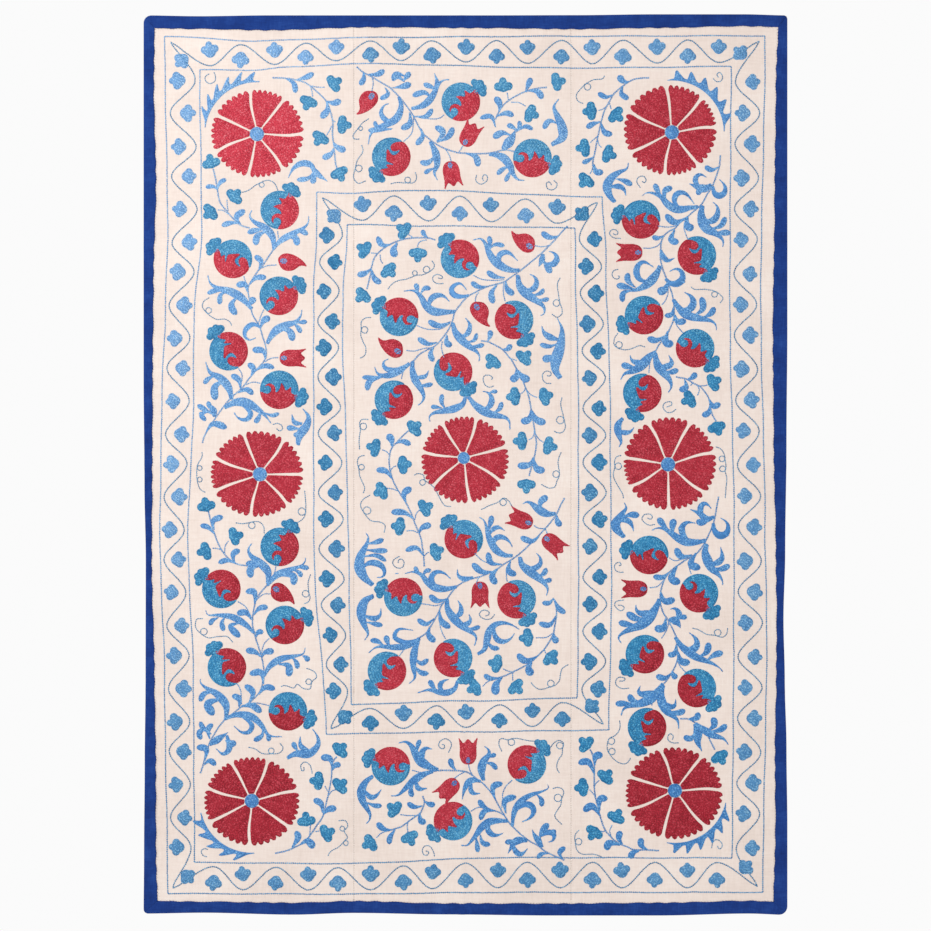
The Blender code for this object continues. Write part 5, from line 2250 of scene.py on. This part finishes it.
# Round the right-hand rosette.
RIGHT_MIDDLE = Spray(
    stems=(
        ((490, 205), (515, 200), (531, 190), (547, 182), (560, 167), (568, 152), (570, 136), (576, 115),
         (584, 102)),
        ((590, -74), (586, -94), (582, -118), (576, -141), (565, -166), (556, -184), (540, -205),
         (522, -216), (499, -231), (476, -249), (463, -268), (457, -286), (454, -302), (454, -320),
         (460, -343), (473, -363), (482, -381), (492, -404), (492, -418), (494, -435), (494, -452),
         (488, -470), (480, -485), (469, -502), (459, -512)),
    ),
    twigs=(
        ((436, 258), (430, 240), (427, 214)), ((542, 185), (552, 184), (564, 186)),
        ((541, 185), (545, 174), (540, 162)), ((530, 191), (524, 185)),
        ((517, -216), (501, -221), (486, -223), (474, -216)), ((522, -218), (521, -236), (526, -255)),
        ((461, -270), (447, -283), (429, -286)), ((474, -366), (468, -386), (457, -404)),
        ((495, -457), (501, -471), (513, -483)), ((446, -533), (437, -546), (434, -561)),
    ),
    clubs=(
        (17, (400, 226), (385, 228), (362, 234)), (15, (460, 218), (478, 216), (497, 222)),
        (16, (516, 199), (528, 203), (539, 215)), (17, (511, 199), (514, 180), (497, 174)),
        (16, (568, 154), (577, 137), (595, 143)), (16, (570, 140), (566, 121), (550, 115)),
        (17, (570, -126), (552, -135), (537, -129)), (17, (474, -153), (462, -141), (448, -123)),
        (19, (484, -162), (482, -145), (486, -125)), (17, (366, -122), (385, -116), (406, -118)),
        (18, (528, -210), (503, -214), (489, -193)), (20, (538, -205), (525, -231), (548, -241)),
        (16, (574, -240), (595, -243), (617, -233)), (21, (493, -236), (480, -264), (501, -275)),
        (15, (475, -250), (458, -262), (436, -260)), (18, (455, -296), (464, -318), (489, -313)),
        (19, (425, -358), (398, -358), (375, -344)), (17, (402, -375), (380, -372), (356, -367)),
        (20, (467, -357), (461, -380), (439, -381)), (14, (492, -360), (503, -355), (517, -355)),
        (18, (543, -448), (562, -436), (567, -413)), (17, (562, -456), (580, -443), (601, -437)),
        (15, (491, -420), (487, -440), (470, -443)), (19, (495, -434), (502, -457), (524, -461)),
        (16, (479, -486), (464, -497), (443, -491)), (16, (482, -479), (484, -489), (493, -498)),
        (17, (412, -554), (389, -549), (381, -534)), (16, (394, -560), (372, -556), (348, -557)),
        (16, (470, -575), (495, -578), (513, -571)),
    ),
    horns=(
        (25, (444, 263), (430, 254), (418, 240), (405, 227), (388, 218), (370, 212), (361, 197)),
        (16, (420, 237), (402, 238), (388, 243), (383, 257)),
        (23, (442, 263), (444, 245), (450, 228), (462, 214), (473, 202), (479, 190), (479, 179),
         (471, 167)),
        (17, (450, 229), (468, 229), (481, 238), (473, 257)),
        (20, (367, 109), (356, 95), (355, 79), (360, 62), (363, 51), (356, 40)),
        (14, (355, 80), (371, 75), (385, 78), (393, 89)),
        (18, (580, -121), (562, -127), (551, -118), (539, -110), (521, -103)),
        (16, (553, -123), (547, -105), (551, -93), (561, -90), (574, -103)),
        (19, (577, -136), (581, -155), (594, -165), (609, -158), (612, -142), (605, -130), (592, -123)),
        (22, (560, -176), (540, -180), (517, -180), (499, -173), (483, -162), (465, -150), (447, -147),
         (433, -153)),
        (17, (519, -176), (506, -160), (505, -144), (517, -134), (538, -136)),
        (25, (370, -169), (355, -153), (349, -139), (358, -124), (368, -110), (375, -100), (369, -87)),
        (15, (356, -130), (376, -129), (388, -141), (392, -157)),
        (25, (563, -184), (558, -202), (563, -220), (573, -241), (587, -253), (598, -268), (599, -281)),
        (17, (568, -231), (585, -229), (598, -216), (594, -189)),
        (27, (453, -313), (442, -336), (429, -356), (411, -372), (388, -381), (366, -392), (356, -403),
         (364, -417)),
        (18, (440, -341), (415, -347), (399, -340), (397, -323)),
        (22, (474, -360), (486, -362), (495, -369), (502, -382)),
        (16, (488, -364), (497, -354), (496, -342), (487, -334), (476, -337)),
        (21, (489, -401), (501, -420), (518, -435), (538, -448), (561, -457), (580, -465), (593, -474),
         (600, -483)),
        (20, (505, -423), (524, -432), (539, -421), (536, -404), (520, -390)),
        (25, (461, -510), (446, -529), (433, -544), (410, -555), (384, -561), (368, -569), (362, -587)),
        (20, (447, -529), (420, -535), (403, -530), (408, -513)),
        (24, (461, -512), (455, -536), (459, -557), (469, -574), (484, -585), (495, -597), (497, -618)),
        (17, (456, -548), (470, -562), (487, -562), (490, -544)),
    ),
    trefoils=((577, 192, 25), (522, 153, 208), (585, 88, -75)),
    tendrils=(
        (((491, 130), (479, 122), (467, 124), (460, 135), (465, 145), (478, 147), (481, 140),
          (468, 135)), ()),
        (((363, 22), (352, 19), (347, 9), (348, -7), (344, -20), (347, -34), (357, -52), (366, -68),
          (368, -78)), ((0.32, 8, 1),)),
        (((583, 42), (594, 38), (602, 27), (605, 11), (607, -5), (605, -15), (609, -32), (607, -52),
          (605, -77)), ((0.30, 7, -1), (0.50, 7, -1))),
        (((442, -139), (427, -140), (414, -132), (411, -123), (419, -115), (431, -115), (436, -122),
          (431, -127), (423, -123)), ()),
        (((369, -250), (354, -249), (347, -239), (351, -229), (360, -227), (363, -234), (357, -235)),
         ()),
        (((369, -315), (351, -318), (347, -326), (354, -336), (363, -340), (370, -335), (366, -328),
          (355, -327)), ()),
        (((528, -380), (544, -385), (562, -395), (581, -397), (597, -402), (608, -395), (611, -380)),
         ((0.60, 8, 1),)),
        (((381, -520), (363, -521), (351, -513), (350, -503), (357, -495), (372, -497), (369, -503),
          (358, -504)), ()),
    ),
)

# The right panel's lower end.
RIGHT_LOWER = Spray(
    stems=(
        ((500, -591), (518, -592), (531, -598), (544, -608), (559, -621), (568, -638), (581, -664)),
        ((451, -899), (422, -897), (394, -897), (377, -890), (357, -882), (338, -866), (324, -848),
         (314, -820), (309, -798), (303, -776), (300, -750), (300, -725), (300, -694), (296, -675),
         (290, -663)),
    ),
    twigs=(
        ((300, -752), (303, -743), (312, -735)), ((302, -772), (295, -763), (288, -756)),
        ((340, -867), (336, -852), (342, -839)), ((326, -852), (320, -855), (314, -853)),
    ),
    clubs=(
        (17, (519, -592), (538, -590), (543, -576)), (16, (537, -622), (525, -638), (507, -633)),
        (18, (564, -620), (580, -606), (576, -587)), (16, (568, -622), (592, -618), (610, -605)),
        (19, (301, -700), (303, -679), (321, -676)), (18, (300, -720), (286, -692), (262, -695)),
        (18, (312, -806), (313, -779), (332, -778)), (19, (314, -818), (295, -795), (274, -807)),
        (19, (362, -886), (335, -881), (328, -899)), (17, (366, -885), (357, -870), (362, -852)),
        (17, (424, -897), (409, -886), (410, -868)), (17, (406, -900), (391, -903), (382, -918)),
    ),
    horns=(
        (24, (535, -603), (541, -624), (541, -645), (552, -669)),
        (20, (535, -602), (555, -617), (576, -630), (601, -638), (614, -654)),
    ),
    trefoils=(
        (592, -680, -60), (281, -651, 140), (326, -727, 50), (274, -751, 180), (351, -821, 65),
        (300, -856, 235),
    ),
    tendrils=(
        (((497, -647), (484, -648), (472, -642), (472, -632), (478, -626), (485, -633), (481, -640)),
         ()),
        (((359, -595), (360, -614), (349, -630), (335, -637), (331, -648), (330, -661), (335, -673),
          (349, -689), (366, -697), (377, -694), (385, -683)), ((0.38, 8, 1), (0.58, 8, 1))),
        (((265, -851), (255, -862), (256, -882), (261, -900), (273, -907), (296, -907), (312, -911),
          (322, -917)), ((0.28, 8, 1),)),
        (((573, -893), (576, -881), (584, -873), (596, -879), (598, -890), (591, -895), (587, -888)),
         ()),
    ),
)

DESIGN = (
    LEFT_UPPER, LEFT_LOWER, LEFT_CORNER, TOP_STRIP, CENTRE_UPPER, CENTRE_MIDDLE, CENTRE_LOWER,
    BOTTOM_STRIP, RIGHT_UPPER, RIGHT_MIDDLE, RIGHT_LOWER,
) + FLOWERS + FRUIT + BUDS


# --- The whole cloth ----------------------------------------------------------------------------


@dataclass
class Suzani:
    """The whole textile: three ground panels, four binding strips and the embroidery."""

    form: ClothForm = field(default_factory=ClothForm)
    needle: Needlework = field(default_factory=Needlework)

    def finishes(self) -> dict:
        """Builds the finish of each thread."""
        silks = {
            Silk.CRIMSON: SilkThread("crimson_floss_silk", "crimson_silk_thread",
                                     ("#88101f", "#b02135", "#cd4656"), ("#be2c41", "#de4759", "#ee7a86")),
            Silk.BLUE: SilkThread("cornflower_floss_silk", "blue_silk_thread",
                                  ("#286bae", "#428ccc", "#77b4e0"), ("#649bd5", "#8abbe8", "#b6d9f4")),
            Silk.TEAL: SilkThread("teal_floss_silk", "blue_silk_thread",
                                  ("#16699d", "#3393c3", "#6abbdd"), ("#3c86b7", "#69add4", "#9ad0e8")),
            Silk.BORDER: SilkThread("pale_blue_floss_silk", "blue_silk_thread",
                                    ("#226fa3", "#3f8dbb", "#76b6d8"), ("#6c9fd3", "#90bde8", "#bcdaf4")),
            Silk.VINE: SilkThread("slate_blue_floss_silk", "blue_silk_thread",
                                  ("#2b638c", "#3f7fab", "#72aacd"), ("#4a80a8", "#6399c2", "#92bddb")),
            Silk.SEAM: SilkThread("unbleached_cotton_thread", "undyed_cotton_ground",
                                  ("#a89079", "#c9b49d", "#e2d3c2"),
                                  ("#b39b84", "#d3c0ab", "#e9dccd"), 0.9, 0.0),
            Silk.HEM: SilkThread("navy_cotton_thread", "royal_blue_cotton_binding",
                                 ("#0f1f4c", "#1c3270", "#31508f"),
                                 ("#0f1f4c", "#1c3270", "#31508f"), 0.9, 0.0),
        }
        return {silk: finish.material() for silk, finish in silks.items()}

    def sew_seams(self) -> None:
        """Works the small slanting stitches that join the loom widths."""
        for k, seam in enumerate(SEAMS):
            y = np.arange(-1012, 1012, 5.2)
            x = seam + 0.35 * np.sin(y / 19 + k)
            rows = np.column_stack([x, y, np.full(len(y), 0.5), np.full(len(y), 2.6)])
            self.needle.keep(Silk.SEAM, [rows], 0.45, 0.5, 0.8)

    def build(self) -> None:
        """Builds every piece and reports it."""
        cotton = HandWovenCotton("undyed_hand_woven_cotton", "#d8c8be", "#e4d5cc", "#ede2da").material()
        blue = HandWovenCotton("royal_blue_plain_weave_cotton", "#0e2660", "#16367c", "#264a92", slub_mm=2.2,
                               patch_mm=45).material()
        for panel in Panel:
            piece = GroundPanel(panel, self.form).build(cotton)
            LOG.info("%s: %d faces", piece.name, len(piece.data.polygons))
        for side in SIDES:
            strip = BindingStrip(side)
            piece = strip.build(blue)
            strip.hem(self.needle)
            LOG.info("%s: %d faces", piece.name, len(piece.data.polygons))
        self.sew_seams()
        for band in (OUTER_BAND, INNER_BAND):
            band.work(self.needle)
        for motif in DESIGN:
            motif.work(self.needle)
        finishes = self.finishes()
        embroidery = Embroidery(self.form)
        bundles = self.needle.bundles
        for panel, silk in sorted(bundles, key=lambda pair: (pair[0].value, pair[1].value)):
            bundle = bundles[panel, silk]
            if bundle.stitches:
                piece = embroidery.build(panel, silk, bundle, finishes[silk])
                LOG.info("%s: %d faces", piece.name, len(piece.data.polygons))


@dataclass(frozen=True)
class Studio:
    """A pale floor, soft even light that leans a little from the left, and a camera straight above."""

    lens_mm: float = 85.0
    camera_height: float = 5.125
    view: float = 2.170
    floor_colour: str = "#fafafa"

    def build(self) -> None:
        """Builds the floor, the lights and the camera."""
        scene = bpy.context.scene
        scene.view_settings.view_transform = "Standard"
        bm = bmesh.new()
        bmesh.ops.create_grid(bm, x_segments=1, y_segments=1, size=14.0)
        mesh = bpy.data.meshes.new("studio_floor")
        bm.to_mesh(mesh)
        bm.free()
        material, _ = blank_material("back_lit_white_paper", {
            "Base Color": (0.0, 0.0, 0.0, 1.0), "Roughness": 1.0, "Specular IOR Level": 0.0,
            "Emission Color": (*linear(self.floor_colour), 1.0), "Emission Strength": 1.008})
        floor = link(mesh, "studio_floor", material)
        world = bpy.data.worlds.new("studio_sky")
        scene.world = world
        world.use_nodes = True
        background = world.node_tree.nodes["Background"]
        background.inputs["Color"].default_value = (1.0, 1.0, 1.0, 1.0)
        background.inputs["Strength"].default_value = 0.62
        for name, spot, power, size in (("soft_key", (-2.6, 1.4, 3.0), 114.0, 3.2),
                                        ("soft_fill", (2.6, -1.0, 3.4), 42.0, 3.6)):
            lamp = bpy.data.lights.new(name, "AREA")
            lamp.energy = power
            lamp.shape = "SQUARE"
            lamp.size = size
            lamp_object = bpy.data.objects.new(name, lamp)
            lamp_object.location = spot
            aim = -np.array(spot)
            lamp_object.rotation_euler = (
                math.acos(-aim[2] / np.linalg.norm(aim)), 0.0, math.atan2(aim[1], aim[0]) - math.pi / 2)
            scene.collection.objects.link(lamp_object)
        camera = bpy.data.cameras.new("camera")
        camera.lens = self.lens_mm
        camera.sensor_width = self.view / self.camera_height * self.lens_mm
        camera_object = bpy.data.objects.new("camera", camera)
        camera_object.location = (0.0, -0.0014, self.camera_height)
        scene.collection.objects.link(camera_object)
        scene.camera = camera_object


def main() -> None:
    """Builds the textile and the studio around the frame."""
    logging.basicConfig(level=logging.INFO, format="%(name)s %(message)s")
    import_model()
    Suzani().build()
    Studio().build()


if __name__ == "__main__":
    main()
